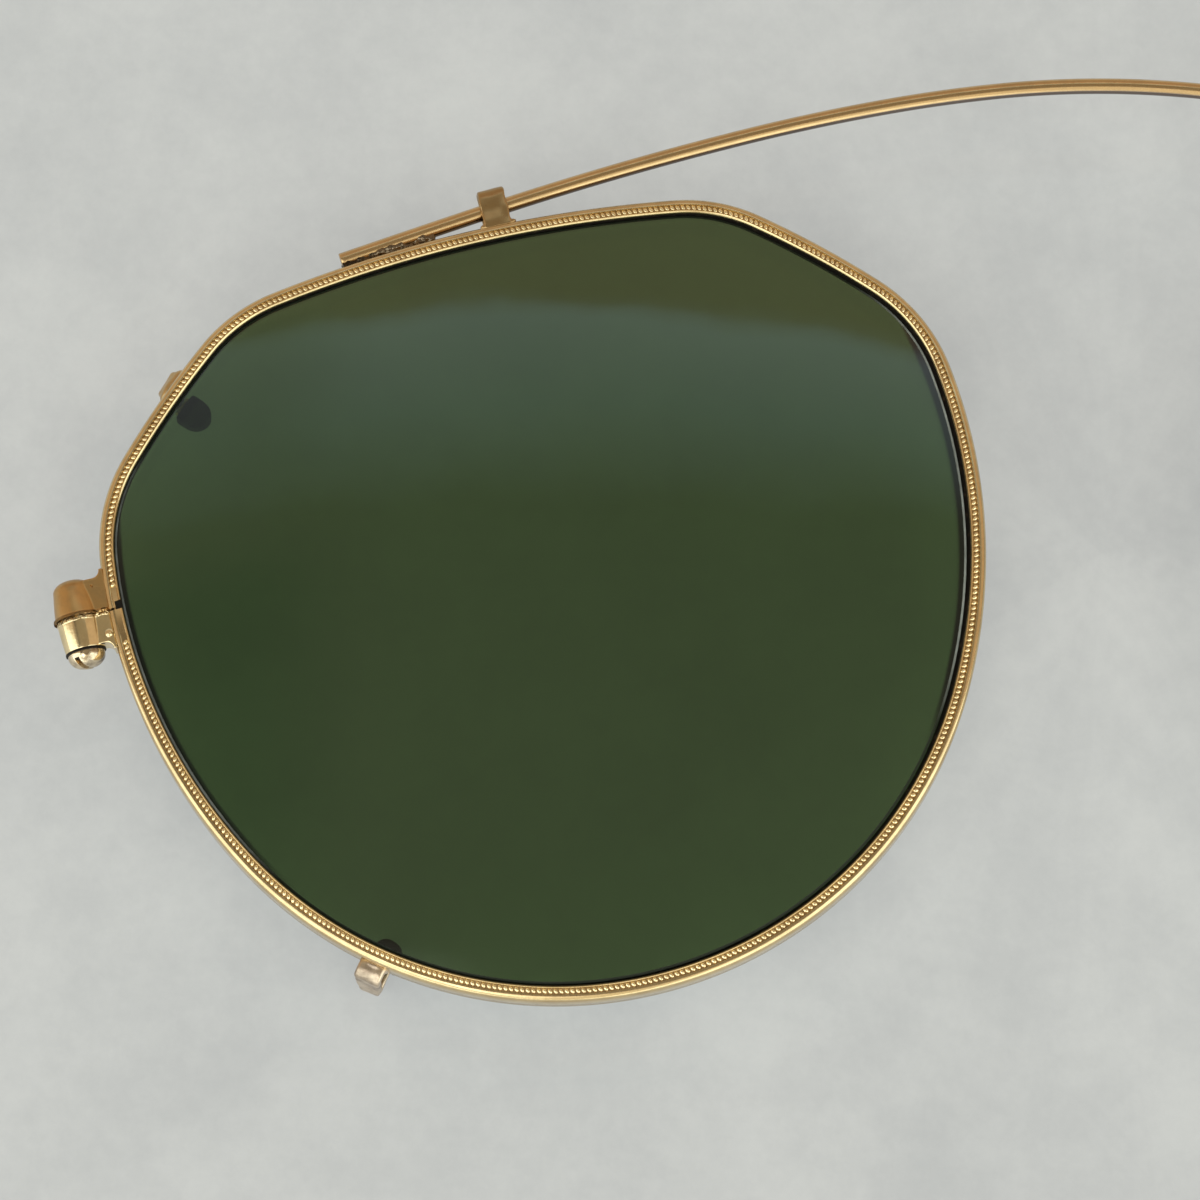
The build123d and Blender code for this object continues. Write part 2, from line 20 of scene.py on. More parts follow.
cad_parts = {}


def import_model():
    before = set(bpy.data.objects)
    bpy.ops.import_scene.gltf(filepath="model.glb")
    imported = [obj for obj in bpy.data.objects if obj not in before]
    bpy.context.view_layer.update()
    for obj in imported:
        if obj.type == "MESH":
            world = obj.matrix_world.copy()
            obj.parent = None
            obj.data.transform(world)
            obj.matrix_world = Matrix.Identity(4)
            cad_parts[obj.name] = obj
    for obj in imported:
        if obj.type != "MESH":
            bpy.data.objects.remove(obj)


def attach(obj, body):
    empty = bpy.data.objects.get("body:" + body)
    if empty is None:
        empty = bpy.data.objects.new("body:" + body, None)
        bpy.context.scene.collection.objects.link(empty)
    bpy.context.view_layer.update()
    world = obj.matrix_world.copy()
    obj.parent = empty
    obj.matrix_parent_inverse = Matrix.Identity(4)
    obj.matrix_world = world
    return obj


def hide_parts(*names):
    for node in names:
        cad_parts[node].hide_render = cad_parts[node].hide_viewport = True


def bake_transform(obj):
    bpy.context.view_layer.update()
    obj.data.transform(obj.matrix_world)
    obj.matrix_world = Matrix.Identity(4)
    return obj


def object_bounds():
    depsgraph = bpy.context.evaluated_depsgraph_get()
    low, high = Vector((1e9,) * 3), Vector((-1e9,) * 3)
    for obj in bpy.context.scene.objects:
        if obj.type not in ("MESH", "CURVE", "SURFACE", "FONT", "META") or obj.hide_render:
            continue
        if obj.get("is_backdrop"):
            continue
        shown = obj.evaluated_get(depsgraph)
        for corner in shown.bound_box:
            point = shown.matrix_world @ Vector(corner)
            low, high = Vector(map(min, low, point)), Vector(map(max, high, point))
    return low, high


LOG = logging.getLogger("clip_on_lenses")
MM = 0.001
UP = Vector((0, 0, 1))
BROW = Vector((0, 1, 0))
WIRE_RADIUS = 0.41
Edge = tuple[float, float]
Triple = tuple[float, float, float]
Colour = tuple[float, float, float]

# Vertices nearer than this become one, in metres: exact copies, seams of a lathe and of a mirror.
COPY_GAP = 1e-7
LATHE_GAP = 1e-6
MIRROR_GAP = 2e-6


# ---- small tools ----------------------------------------------------------------------


def mm(*values: float) -> Vector:
    """A vector whose parts are given in millimetres."""
    return Vector(values) * MM


def share_of(value: float, start: float, span: float) -> float:
    """How far a value has come from a start over a span, kept between 0 and 1."""
    return min(max((value - start) / span, 0.0), 1.0)


class Side(Enum):
    """The two lens units, named as their wearer would."""

    RIGHT = "right"
    LEFT = "left"


def only(obj: bpy.types.Object) -> None:
    """Make one object the whole selection and the active one.

    Args:
        obj: the object the next operators act on.
    """
    bpy.ops.object.select_all(action="DESELECT")
    obj.select_set(True)
    bpy.context.view_layer.objects.active = obj


@contextmanager
def edit_mode(obj: bpy.types.Object, everything: bool = True) -> Iterator[None]:
    """Open an object in edit mode and close it again.

    Args:
        obj: the mesh object to open.
        everything: whether all of it starts selected.
    """
    only(obj)
    bpy.ops.object.mode_set(mode="EDIT")
    bpy.ops.mesh.select_mode(type="VERT")
    bpy.ops.mesh.select_all(action="SELECT" if everything else "DESELECT")
    try:
        yield
    finally:
        bpy.ops.object.mode_set(mode="OBJECT")


def modify(obj: bpy.types.Object, kind: str, **settings: object) -> None:
    """Add a modifier, set it and apply it at once.

    Args:
        obj: the object to change.
        kind: the modifier's type name.
        **settings: its properties.
    """
    only(obj)
    modifier = obj.modifiers.new(kind.title(), kind)
    for name, value in settings.items():
        setattr(modifier, name, value)
    bpy.ops.object.modifier_apply(modifier=modifier.name)


def heal(obj: bpy.types.Object, gap: float = COPY_GAP, close: bool = True) -> None:
    """Merge doubles, close open ends and point all faces outwards.

    Args:
        obj: the mesh object.
        gap: vertices nearer than this become one, in metres.
        close: whether open ends get a face.
    """
    with edit_mode(obj):
        bpy.ops.mesh.remove_doubles(threshold=gap)
        if close:
            bpy.ops.mesh.fill_holes(sides=0)
            bpy.ops.mesh.select_all(action="SELECT")
        bpy.ops.mesh.normals_make_consistent(inside=False)


def smooth(obj: bpy.types.Object, degrees: float = 35.0) -> None:
    """Shade an object smooth, with edges sharper than an angle kept crisp."""
    only(obj)
    bpy.ops.object.shade_smooth_by_angle(angle=math.radians(degrees))


def bevel(obj: bpy.types.Object, width: float, segments: int, degrees: float) -> None:
    """Round the edges that are sharper than an angle.

    Args:
        obj: the object.
        width: how far from the edge the rounding starts, in millimetres.
        segments: faces across the rounding.
        degrees: the angle.
    """
    angle = math.radians(degrees)
    modify(obj, "BEVEL", width=width * MM, segments=segments, limit_method="ANGLE", angle_limit=angle)


def mark(obj: bpy.types.Object, name: str, rule: Callable[[bpy.types.MeshVertex], float]) -> None:
    """Give every vertex a value that a finish can read.

    Args:
        obj: the mesh object.
        name: the value's name.
        rule: what gives the value of one vertex.
    """
    values = obj.data.attributes.new(name, "FLOAT", "POINT")
    for vertex in obj.data.vertices:
        values.data[vertex.index].value = rule(vertex)


def soften(obj: bpy.types.Object, grain: float, rounds: int) -> None:
    """Turn an object into one skin with filed, rounded edges.

    Args:
        obj: the object, which may be several closed shells in each other.
        grain: size of the new faces, in millimetres.
        rounds: how often the skin is smoothed.
    """
    modify(obj, "REMESH", mode="VOXEL", voxel_size=grain * MM, use_smooth_shade=True)
    modify(obj, "SMOOTH", factor=0.5, iterations=rounds)


def cut(obj: bpy.types.Object, tool: bpy.types.Object) -> None:
    """Take a tool's shape out of an object and remove the tool."""
    modify(obj, "BOOLEAN", operation="DIFFERENCE", object=tool, solver="EXACT")
    bpy.data.objects.remove(tool)


def joined(name: str, objects: Sequence[bpy.types.Object]) -> bpy.types.Object:
    """Join objects into the first of them.

    Args:
        name: the new name of the result.
        objects: what is joined.

    Returns:
        The one object that is left.
    """
    only(objects[0])
    for obj in objects:
        obj.select_set(True)
    bpy.ops.object.join()
    objects[0].name = name
    return objects[0]


def ring_of(points: Sequence[Vector], name: str, closed: bool = True) -> bpy.types.Object:
    """A loop of edges through points, started from a circle.

    Args:
        points: the loop's corners, in metres.
        name: the object's name.
        closed: whether the last point joins the first.

    Returns:
        The loop as a mesh object without faces.
    """
    bpy.ops.object.select_all(action="DESELECT")
    bpy.ops.mesh.primitive_circle_add(vertices=len(points), radius=MM, fill_type="NOTHING")
    ring = bpy.context.object
    ring.name = name
    for vertex, point in zip(ring.data.vertices, points):
        vertex.co = point
    if not closed:
        with edit_mode(ring, everything=False):
            bpy.ops.object.mode_set(mode="OBJECT")
            for index in (0, len(points) - 1):
                ring.data.vertices[index].select = True
            bpy.ops.object.mode_set(mode="EDIT")
            bpy.ops.mesh.delete(type="EDGE")
    return ring


def slab(points: Sequence[Vector], depth: Vector, name: str) -> bpy.types.Object:
    """A closed outline filled and pushed through by a depth.

    Args:
        points: the outline, in metres.
        depth: the push, in metres.
        name: the object's name.

    Returns:
        The closed solid.
    """
    piece = ring_of(points, name)
    with edit_mode(piece):
        bpy.ops.mesh.edge_face_add()
        bpy.ops.mesh.extrude_region_move(TRANSFORM_OT_translate={"value": depth})
    heal(piece)
    return piece


def arc_points(centre: Vector, start: Vector, angle: float, axis: Vector, steps: int) -> list[Vector]:
    """Points on an arc, without its first one.

    Args:
        centre: the arc's centre.
        start: where the arc begins.
        angle: its turn in radians.
        axis: what it turns about.
        steps: how many points.

    Returns:
        The points in order.
    """
    turn = [Matrix.Rotation(angle * (i + 1) / steps, 3, axis) for i in range(steps)]
    return [centre + matrix @ (start - centre) for matrix in turn]


@dataclass
class Sweep:
    """A section carried along straight runs and turns, as a strip or wire is bent.

    The section is what is selected in the mesh that is open in edit mode.
    """

    place: Vector
    heading: Vector
    axis: Vector = field(default_factory=UP.copy)

    def run(self, length: float) -> None:
        """Carry the open end straight on by a length in metres."""
        move = self.heading * length
        bpy.ops.mesh.extrude_region_move(TRANSFORM_OT_translate={"value": move})
        self.place = self.place + move

    def turn(self, radius: float, angle: float, steps: int) -> None:
        """Carry the open end round an arc.

        Args:
            radius: the arc's radius in metres.
            angle: the turn in radians, positive to the left seen against the axis.
            steps: how many sections the arc gets.
        """
        left = self.axis.cross(self.heading).normalized()
        centre = self.place + left * math.copysign(radius, angle)
        # The spin operator counts its angle the other way round.
        bpy.ops.mesh.spin(steps=steps, dupli=False, angle=-angle, center=centre, axis=self.axis)
        matrix = Matrix.Rotation(angle, 3, self.axis)
        self.place = centre + matrix @ (self.place - centre)
        self.heading = matrix @ self.heading


def circles_meet(
    centre_a: Vector, radius_a: float, centre_b: Vector, radius_b: float, near: Vector
) -> Vector:
    """The crossing of two circles that lies nearer to a point.

    Args:
        centre_a: centre of the first circle.
        radius_a: its radius.
        centre_b: centre of the second circle.
        radius_b: its radius.
        near: the point that picks one of the two crossings.

    Returns:
        The crossing, flat.
    """
    gap = centre_b - centre_a
    along = (gap.length_squared + radius_a**2 - radius_b**2) / (2 * gap.length)
    across = math.sqrt(max(radius_a**2 - along**2, 0))
    unit = gap.normalized()
    foot = centre_a + unit * along
    sides = [foot + Vector((-unit.y, unit.x)) * across * sign for sign in (-1, 1)]
    return min(sides, key=lambda point: (point - near).length)


def bearing(centre: Vector, point: Vector) -> float:
    """The angle at which a point is seen from a centre, in radians."""
    return math.atan2(point.y - centre.y, point.x - centre.x)


@dataclass(frozen=True)
class Bend:
    """One arc of the outline: its radius, its turn and how many sections it gets."""

    radius: float
    angle: float
    steps: int


@dataclass(frozen=True)
class LensShape:
    """The outline of the lens opening and the sphere that its front lies on, in millimetres.

    Parting is the height on the face at which the rim is parted. Arc_sections tells how many
    sections each arc of half the outline gets, from the top down.
    """

    bottom_radius: float = 20.92
    bottom_centre: float = 0.45
    bottom_end: float = 28.9
    side_radius: float = 28.34
    side_corner_y: float = 9.8
    top_corner_x: float = 12.7
    top_corner_y: float = 17.84
    top_middle_y: float = 18.89
    diagonal_bulge: float = 0.32
    side_rounding: float = 8.2
    top_rounding: float = 7.6
    rim_width: float = 0.81
    front_curve: float = 110.35
    rim_depth: float = 1.7
    rim_back: float = 3.65
    parting: float = 4.42
    arc_sections: tuple[int, ...] = (18, 14, 12, 14, 26, 44)

    @property
    def flank(self) -> Vector:
        """Centre of the right flank's arc."""
        angle = math.radians(self.bottom_end)
        gap = self.side_radius - self.bottom_radius
        return Vector((-gap * math.cos(angle), self.bottom_centre + gap * math.sin(angle)))

    def side_x(self, y: float) -> float:
        """Half the width of the opening at a height of its sides."""
        return self.flank.x + math.sqrt(self.side_radius**2 - (y - self.flank.y) ** 2)

    @property
    def top_radius(self) -> float:
        """Radius of the bowed top."""
        rise = self.top_middle_y - self.top_corner_y
        return (self.top_corner_x**2 + rise**2) / (2 * rise)

    @property
    def sphere_centre(self) -> float:
        """Height of the middle of the sphere over the feet."""
        inner = self.front_curve - self.rim_depth
        return self.rim_back - math.sqrt(inner**2 - self.bottom_radius**2)

    def height(self, across: float, depth: float) -> float:
        """Height over the feet, this far from the axis and this deep under the front."""
        return self.sphere_centre + math.sqrt((self.front_curve - depth) ** 2 - across**2)

    def half_outline(self, growth: float) -> list[Bend]:
        """Half the outline, from the middle of the top down to the middle of the bottom.

        Args:
            growth: how far outside the opening the route runs, in millimetres.

        Returns:
            The stretches in order, all turning about centres in the level plane.
        """
        top = Vector((0, self.top_middle_y - self.top_radius))
        flank = self.flank
        corner = Vector((self.top_corner_x, self.top_corner_y))
        side = Vector((self.side_x(self.side_corner_y), self.side_corner_y))
        chord = side - corner
        bulge = self.diagonal_bulge
        diagonal_radius = (chord.length_squared / 4 + bulge**2) / (2 * bulge)
        out = Vector((-chord.y, chord.x)).normalized()
        diagonal = (corner + side) / 2 + out * (bulge - diagonal_radius)
        r1, r2 = self.top_rounding, self.side_rounding
        first = circles_meet(top, self.top_radius - r1, diagonal, diagonal_radius - r1, corner)
        second = circles_meet(diagonal, diagonal_radius - r2, flank, self.side_radius - r2, side)
        angles = [
            math.pi / 2,
            bearing(top, first),
            bearing(diagonal, first),
            bearing(diagonal, second),
            bearing(flank, second),
            -math.radians(self.bottom_end),
            -math.pi / 2,
        ]
        turns = [after - before for before, after in zip(angles, angles[1:])]
        radii = [self.top_radius, r1, diagonal_radius, r2, self.side_radius, self.bottom_radius]
        return [
            Bend(radius + growth, turn, steps)
            for radius, turn, steps in zip(radii, turns, self.arc_sections)
        ]

    def trace(self, growth: float) -> list[Vector]:
        """Points along the whole outline, from the middle of the top through the left side.

        Args:
            growth: how far outside the opening they lie, in millimetres.

        Returns:
            Flat points in millimetres, the first not repeated.
        """
        place = Vector((0, self.top_middle_y + growth, 0))
        heading = Vector((1, 0, 0))
        points = [place]
        for bend in self.half_outline(growth):
            centre = place + UP.cross(heading) * math.copysign(bend.radius, bend.angle)
            points += arc_points(centre, place, bend.angle, UP, 2 * bend.steps)
            place = points[-1]
            heading = Matrix.Rotation(bend.angle, 3, UP) @ heading
        mirrored = [Vector((-point.x, point.y, 0)) for point in points[1:-1]]
        return mirrored + points[:0:-1] + [points[0]]

    def sweep_ring(
        self, section: Sequence[tuple[float, float]], name: str, closed: bool = True
    ) -> bpy.types.Object:
        """Carry a section round the whole outline.

        Args:
            section: corners as growth over the opening and depth under the front, in millimetres.
            name: the new object's name.
            closed: whether the section's last corner joins its first.

        Returns:
            The closed ring, still flat: its depths are measured from z = 0.
        """
        corners = [mm(0, self.top_middle_y + growth, -depth) for growth, depth in section]
        ring = ring_of(corners, name, closed)
        with edit_mode(ring):
            sweep = Sweep(mm(0, self.top_middle_y, 0), Vector((1, 0, 0)))
            for bend in self.half_outline(0):
                sweep.turn(bend.radius * MM, bend.angle, bend.steps)
        modify(ring, "MIRROR", use_axis=(True, False, False), merge_threshold=MIRROR_GAP)
        heal(ring, close=False)
        return ring

    def dome(self, obj: bpy.types.Object) -> None:
        """Lay a flat piece on the sphere.

        Args:
            obj: the piece; its z becomes the depth under the curved front.
        """
        for vertex in obj.data.vertices:
            across = math.hypot(vertex.co.x, vertex.co.y) / MM
            vertex.co.z = self.height(across, -vertex.co.z / MM) * MM
        obj.data.update()

    def follow(self, obj: bpy.types.Object, growth: float, start: float) -> None:
        """Bend a straight row round the outline.

        Args:
            obj: the row; its x is the way along the outline, its y points outwards.
            growth: how far outside the opening the row's middle line runs, in millimetres.
            start: where the row begins, as the way from the middle of the top, in millimetres.
        """
        points = self.trace(growth)
        points = points[-1:] + points[:-1]
        steps = [(after - before).length for before, after in zip(points, points[1:] + points[:1])]
        ways = [0.0]
        for step in steps:
            ways.append(ways[-1] + step)
        for vertex in obj.data.vertices:
            way = (start + vertex.co.x / MM) % ways[-1]
            index = min(bisect_right(ways, way) - 1, len(points) - 1)
            first, second = points[index], points[(index + 1) % len(points)]
            along = (second - first).normalized()
            out = Vector((along.y, -along.x, 0))
            foot = first + along * (way - ways[index]) + out * (vertex.co.y / MM)
            vertex.co.x = foot.x * MM
            vertex.co.y = foot.y * MM
        obj.data.update()

    def wall_at(self, y: float) -> float:
        """How far from the middle the rim's outer side wall stands at a height of the face."""
        return self.side_x(y) + self.rim_width

    def way_to_side(self, growth: float, y: float) -> float:
        """The way along the outline from the middle of the top to the right unit's temple side.

        Args:
            growth: how far outside the opening the outline runs, in millimetres.
            y: height of the place on the face, in millimetres.

        Returns:
            The way in millimetres.
        """
        points = self.trace(growth)
        way, before = 0.0, points[-1]
        for point in points:
            low, high = sorted((before.y, point.y))
            if before.x < 0 and low <= y <= high:
                return way
            way += (point - before).length
            before = point
        return way

    def way_round(self, growth: float) -> float:
        """Length of the whole outline, this far outside the opening, in millimetres."""
        points = self.trace(growth)
        return sum((after - before).length for before, after in zip(points, points[1:] + points[:1]))


def lump(obj: bpy.types.Object, height: float, grain: float, seed: float = 0.0) -> None:
    """Give a skin the unevenness of hand work.

    Args:
        obj: the object, with faces smaller than the lumps.
        height: how far the skin moves in or out at most, in millimetres.
        grain: size of the lumps, in millimetres.
        seed: shifts the pattern.
    """
    mesh = obj.data
    normals = [vertex.normal.copy() for vertex in mesh.vertices]
    for vertex, normal in zip(mesh.vertices, normals):
        spot = vertex.co / (grain * MM) + Vector((seed, seed * 1.7, -seed))
        vertex.co = vertex.co + normal * (noise.noise(spot) * height * MM)
    mesh.update()


def blob(place: Vector, size: Vector, turn: float, name: str = "solder") -> bpy.types.Object:
    """A rounded drop of solder, to be melted into a neighbour.

    Args:
        place: its middle, in millimetres.
        size: half its length, breadth and height, in millimetres.
        turn: its turn about the upright axis, in radians.
        name: the object's name.

    Returns:
        The drop.
    """
    bpy.ops.object.select_all(action="DESELECT")
    bpy.ops.mesh.primitive_uv_sphere_add(segments=16, ring_count=10, radius=MM)
    drop = bpy.context.object
    drop.name = name
    turned = Matrix.Rotation(turn, 4, "Z") @ Matrix.Diagonal((*size, 1))
    drop.data.transform(Matrix.Translation(place * MM) @ turned)
    return drop


def spun(
    profile: Sequence[Vector], axis_point: Vector, axis: Vector, steps: int, name: str
) -> bpy.types.Object:
    """Turn a profile about an axis, as on a lathe.

    Args:
        profile: its points from one end of the axis to the other, in metres.
        axis_point: a point of the axis, in metres.
        axis: the axis' direction.
        steps: sections all round.
        name: the object's name.

    Returns:
        The closed turned piece.
    """
    piece = ring_of(profile, name, closed=False)
    with edit_mode(piece):
        bpy.ops.mesh.spin(steps=steps, dupli=False, angle=math.tau, center=axis_point, axis=axis)
    heal(piece, gap=LATHE_GAP)
    return piece


# ---- pieces and where they go ---------------------------------------------------------


@dataclass
class Piece:
    """A finished mesh, the CAD node that it stands in for and its finish."""

    obj: bpy.types.Object
    node: str
    finish: "Finish"
    name: str


@dataclass(frozen=True)
class Hanging:
    """How a lens unit hangs on the relaxed bow, seen from its own level frame."""

    x: float = -28.3011
    y: float = -3.2268
    tilt: float = 13.7

    @property
    def matrix(self) -> Matrix:
        """The move from the level frame to the object's frame."""
        turn = Matrix.Rotation(math.radians(self.tilt), 4, "Z")
        return Matrix.Translation(mm(self.x, self.y, 0)) @ turn

    def hang(self, piece: Piece) -> None:
        """Put a piece of the right unit in its place and its mirrored copy in the left unit.

        Args:
            piece: the piece, still in the level frame.
        """
        right = piece.obj
        right.data.transform(self.matrix)
        self.fasten(piece, right, Side.RIGHT)
        bpy.ops.object.select_all(action="DESELECT")
        left = right.copy()
        left.data = right.data.copy()
        bpy.context.scene.collection.objects.link(left)
        left.data.transform(Matrix.Scale(-1, 4, (1, 0, 0)))
        with edit_mode(left):
            bpy.ops.mesh.normals_make_consistent(inside=False)
        self.fasten(piece, left, Side.LEFT)

    def fasten(self, piece: Piece, obj: bpy.types.Object, side: Side) -> None:
        """Name a mesh, dress it and tell the frame what it rides on and replaces.

        Args:
            piece: the piece whose names and finish it takes.
            obj: the mesh in its place.
            side: the lens unit that it belongs to.
        """
        obj.name = f"{side.value}_{piece.name}"
        obj.data.name = obj.name
        obj.data.materials.clear()
        obj.data.materials.append(piece.finish.material())
        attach(obj, f"{side.value}_unit")
        if piece.node:
            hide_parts(f"{side.value}_{piece.node}")
        LOG.info("%s: %d faces", obj.name, len(obj.data.polygons))


@dataclass
class Rim:
    """The grooved rim, its edges, its milled grains and its saw cut, in millimetres.

    Beside the closing block the milled band stays plain, from plain_below under the parting
    line to plain_above over it.
    """

    shape: LensShape
    split: float = 0.12
    notch: float = 0.4
    notch_reach: float = 0.36
    saw_run: float = 0.4
    saw_through: float = 1.2
    saw_height: float = 9.0
    band: tuple[float, float] = (0.14, 0.48)
    band_floor: float = 0.13
    plain_depth: float = 0.03
    plain_above: float = 0.5
    plain_below: float = 2.1
    grain_pitch: float = 0.28
    grain_line: float = 0.3
    grain_size: tuple[float, float, float] = (0.122, 0.15, 0.075)
    grain_lean: float = 0.35
    grain_depth: float = 0.105
    film_sink: float = 0.2
    # The near-black block in the notch over the saw cut is painted shade of that recess.
    notch_shade_front: float = 0.32
    notch_shade_depth: float = 0.5

    def section(self) -> list[tuple[float, float]]:
        """The rim cut across.

        Returns:
            The corners as growth over the opening and depth under the front.
        """
        w, d, floor = self.shape.rim_width, self.shape.rim_depth, self.band_floor
        lip = [(0.0, 0.2), (0.012, 0.14), (0.04, 0.08), (0.08, 0.03), (0.115, 0.005), (0.14, 0.02)]
        band = [(0.155, 0.08), (0.165, floor), (0.43, floor), (0.44, 0.08)]
        outer = [(0.465, 0.035), (0.51, 0.02), (0.66, 0.04), (w - 0.09, 0.085), (w - 0.03, 0.16), (w, 0.28)]
        back = [(w, d - 0.16), (w - 0.04, d - 0.05), (w - 0.14, d)]
        back += [(0.12, d), (0.04, d - 0.03), (0, d - 0.1)]
        groove = [(0, 1.35), (0.3, 1.35), (0.3, 0.7), (0, 0.7)]
        return lip + band + outer + back + groove

    def beside_block(self, place: Vector, below: float, above: float) -> bool:
        """Whether a flat place lies on the plain stretch beside the closing block.

        Args:
            place: the place, in metres.
            below: how much shorter the stretch is taken at its lower end.
            above: how much longer it is taken at its upper end.

        Returns:
            True on that stretch.
        """
        rise = place.y / MM - self.shape.parting
        return place.x < 0 and below - self.plain_below < rise < self.plain_above + above

    def in_band(self, place: Vector) -> bool:
        """Whether a flat place on the temple side, in metres, lies over the milled band."""
        growth = -place.x / MM - self.shape.side_x(place.y / MM)
        return self.band[0] < growth < self.band[1]

    def bar(
        self, sides: tuple[float, float, float, float], start: float, depth: float, name: str
    ) -> bpy.types.Object:
        """An upright block between four sides.

        Args:
            sides: its left, right, low and high side on the face.
            start: the height of its first end.
            depth: how far it goes on from there.
            name: the object's name.

        Returns:
            The closed block.
        """
        left, right, low, high = sides
        corners = [mm(x, y, start) for x, y in ((left, low), (right, low), (right, high), (left, high))]
        return slab(corners, mm(0, 0, depth), name)

    def build_ring(self) -> bpy.types.Object:
        """The ring itself, domed and sawn through at the closing block.

        Returns:
            The ring.
        """
        parting, half = self.shape.parting, self.split / 2
        ring = self.shape.sweep_ring(self.section(), "rim")
        floor, plain = -(self.band_floor + 0.005) * MM, -(self.plain_depth - 0.001) * MM
        for vertex in ring.data.vertices:
            beside = self.beside_block(vertex.co, 0.4, 0.0)
            if beside and floor < vertex.co.z < plain and self.in_band(vertex.co):
                vertex.co.z = -self.plain_depth * MM
        self.shape.dome(ring)
        wall = -self.shape.wall_at(parting)
        inner = wall + self.shape.rim_width
        through = (wall - self.saw_run, wall + self.saw_through, parting - half, parting + half)
        notch = (inner - self.notch_reach, inner + self.saw_run, parting, parting + self.notch)
        for sides in (through, notch):
            cut(ring, self.bar(sides, 0, self.saw_height, "saw cut"))
        smooth(ring, degrees=40)
        return ring

    def build_grains(self) -> bpy.types.Object:
        """The milled band: one slanted grain repeated round the rim.

        Returns:
            All grains as one piece.
        """
        split_way = self.shape.way_to_side(self.grain_line, self.shape.parting)
        whole = self.shape.way_round(self.grain_line)
        length = whole - self.plain_above - self.plain_below
        bpy.ops.object.select_all(action="DESELECT")
        bpy.ops.mesh.primitive_uv_sphere_add(segments=8, ring_count=5, radius=MM)
        grain = bpy.context.object
        grain.name = "milled band"
        grain.data.transform(Matrix.Diagonal((*self.grain_size, 1)))
        lean = Matrix.Identity(4)
        lean[0][1] = self.grain_lean
        grain.data.transform(Matrix.Translation(mm(0, 0, -self.grain_depth)) @ lean)
        modify(
            grain,
            "ARRAY",
            count=int(length / self.grain_pitch),
            use_relative_offset=False,
            use_constant_offset=True,
            constant_offset_displace=mm(self.grain_pitch, 0, 0),
        )
        self.shape.follow(grain, self.grain_line, split_way + self.plain_below)
        self.shape.dome(grain)
        smooth(grain, degrees=60)
        return grain

    def build_seam_shade(self) -> bpy.types.Object:
        """Painted shade: a near-black fillet between rim and lens, and a near-black block in the notch over
        the saw cut.

        Returns:
            Both as one piece.
        """
        seam = [(-0.012, 0.17), (-0.02, 0.5), (-0.17, 0.58), (-0.165, 0.715), (0.02, 0.715), (0.02, 0.17)]
        fillet = self.shape.sweep_ring(seam, "grease")
        self.shape.dome(fillet)
        parting = self.shape.parting
        inner = self.shape.rim_width - self.shape.wall_at(parting)
        front = self.shape.height(abs(inner), self.notch_shade_front)
        overlap = 0.01
        left, right = inner - self.notch_reach - overlap, inner + 2 * overlap
        sides = (left, right, parting - 2 * overlap, parting + self.notch + overlap)
        seam_shade_pieces = joined("grease", [fillet, self.bar(sides, front, -self.notch_shade_depth, "notch_shade")])
        smooth(seam_shade_pieces, degrees=40)
        return seam_shade_pieces

    def build_film(self) -> bpy.types.Object:
        """The tarnished floor between the grains, sunk under the plain stretch at the saw cut.

        Returns:
            The floor.
        """
        film = self.shape.sweep_ring([(0.162, 0.118), (0.435, 0.118), (0.435, 0.15), (0.162, 0.15)], "film")
        for vertex in film.data.vertices:
            if self.beside_block(vertex.co, 0.3, 0.1):
                vertex.co.z -= self.film_sink * MM
        self.shape.dome(film)
        return film

    def build(self, finish: "Finish", pearls: "Finish", tarnish: "Finish", grease: "Finish") -> list[Piece]:
        """The ring, its grains, their floor and the painted shade in the seams.

        Args:
            finish: the ring's finish.
            pearls: the finish of the milled grains.
            tarnish: the finish of the floor between them.
            grease: the finish of the painted shade in the seams.

        Returns:
            The pieces.
        """
        return [
            Piece(self.build_film(), "", tarnish, "band_floor"),
            Piece(self.build_ring(), "rim", finish, "rim"),
            Piece(self.build_grains(), "", pearls, "milled_band"),
            # Near-black fill in the seams: painted shade.
            Piece(self.build_seam_shade(), "", grease, "seam_shade"),
        ]


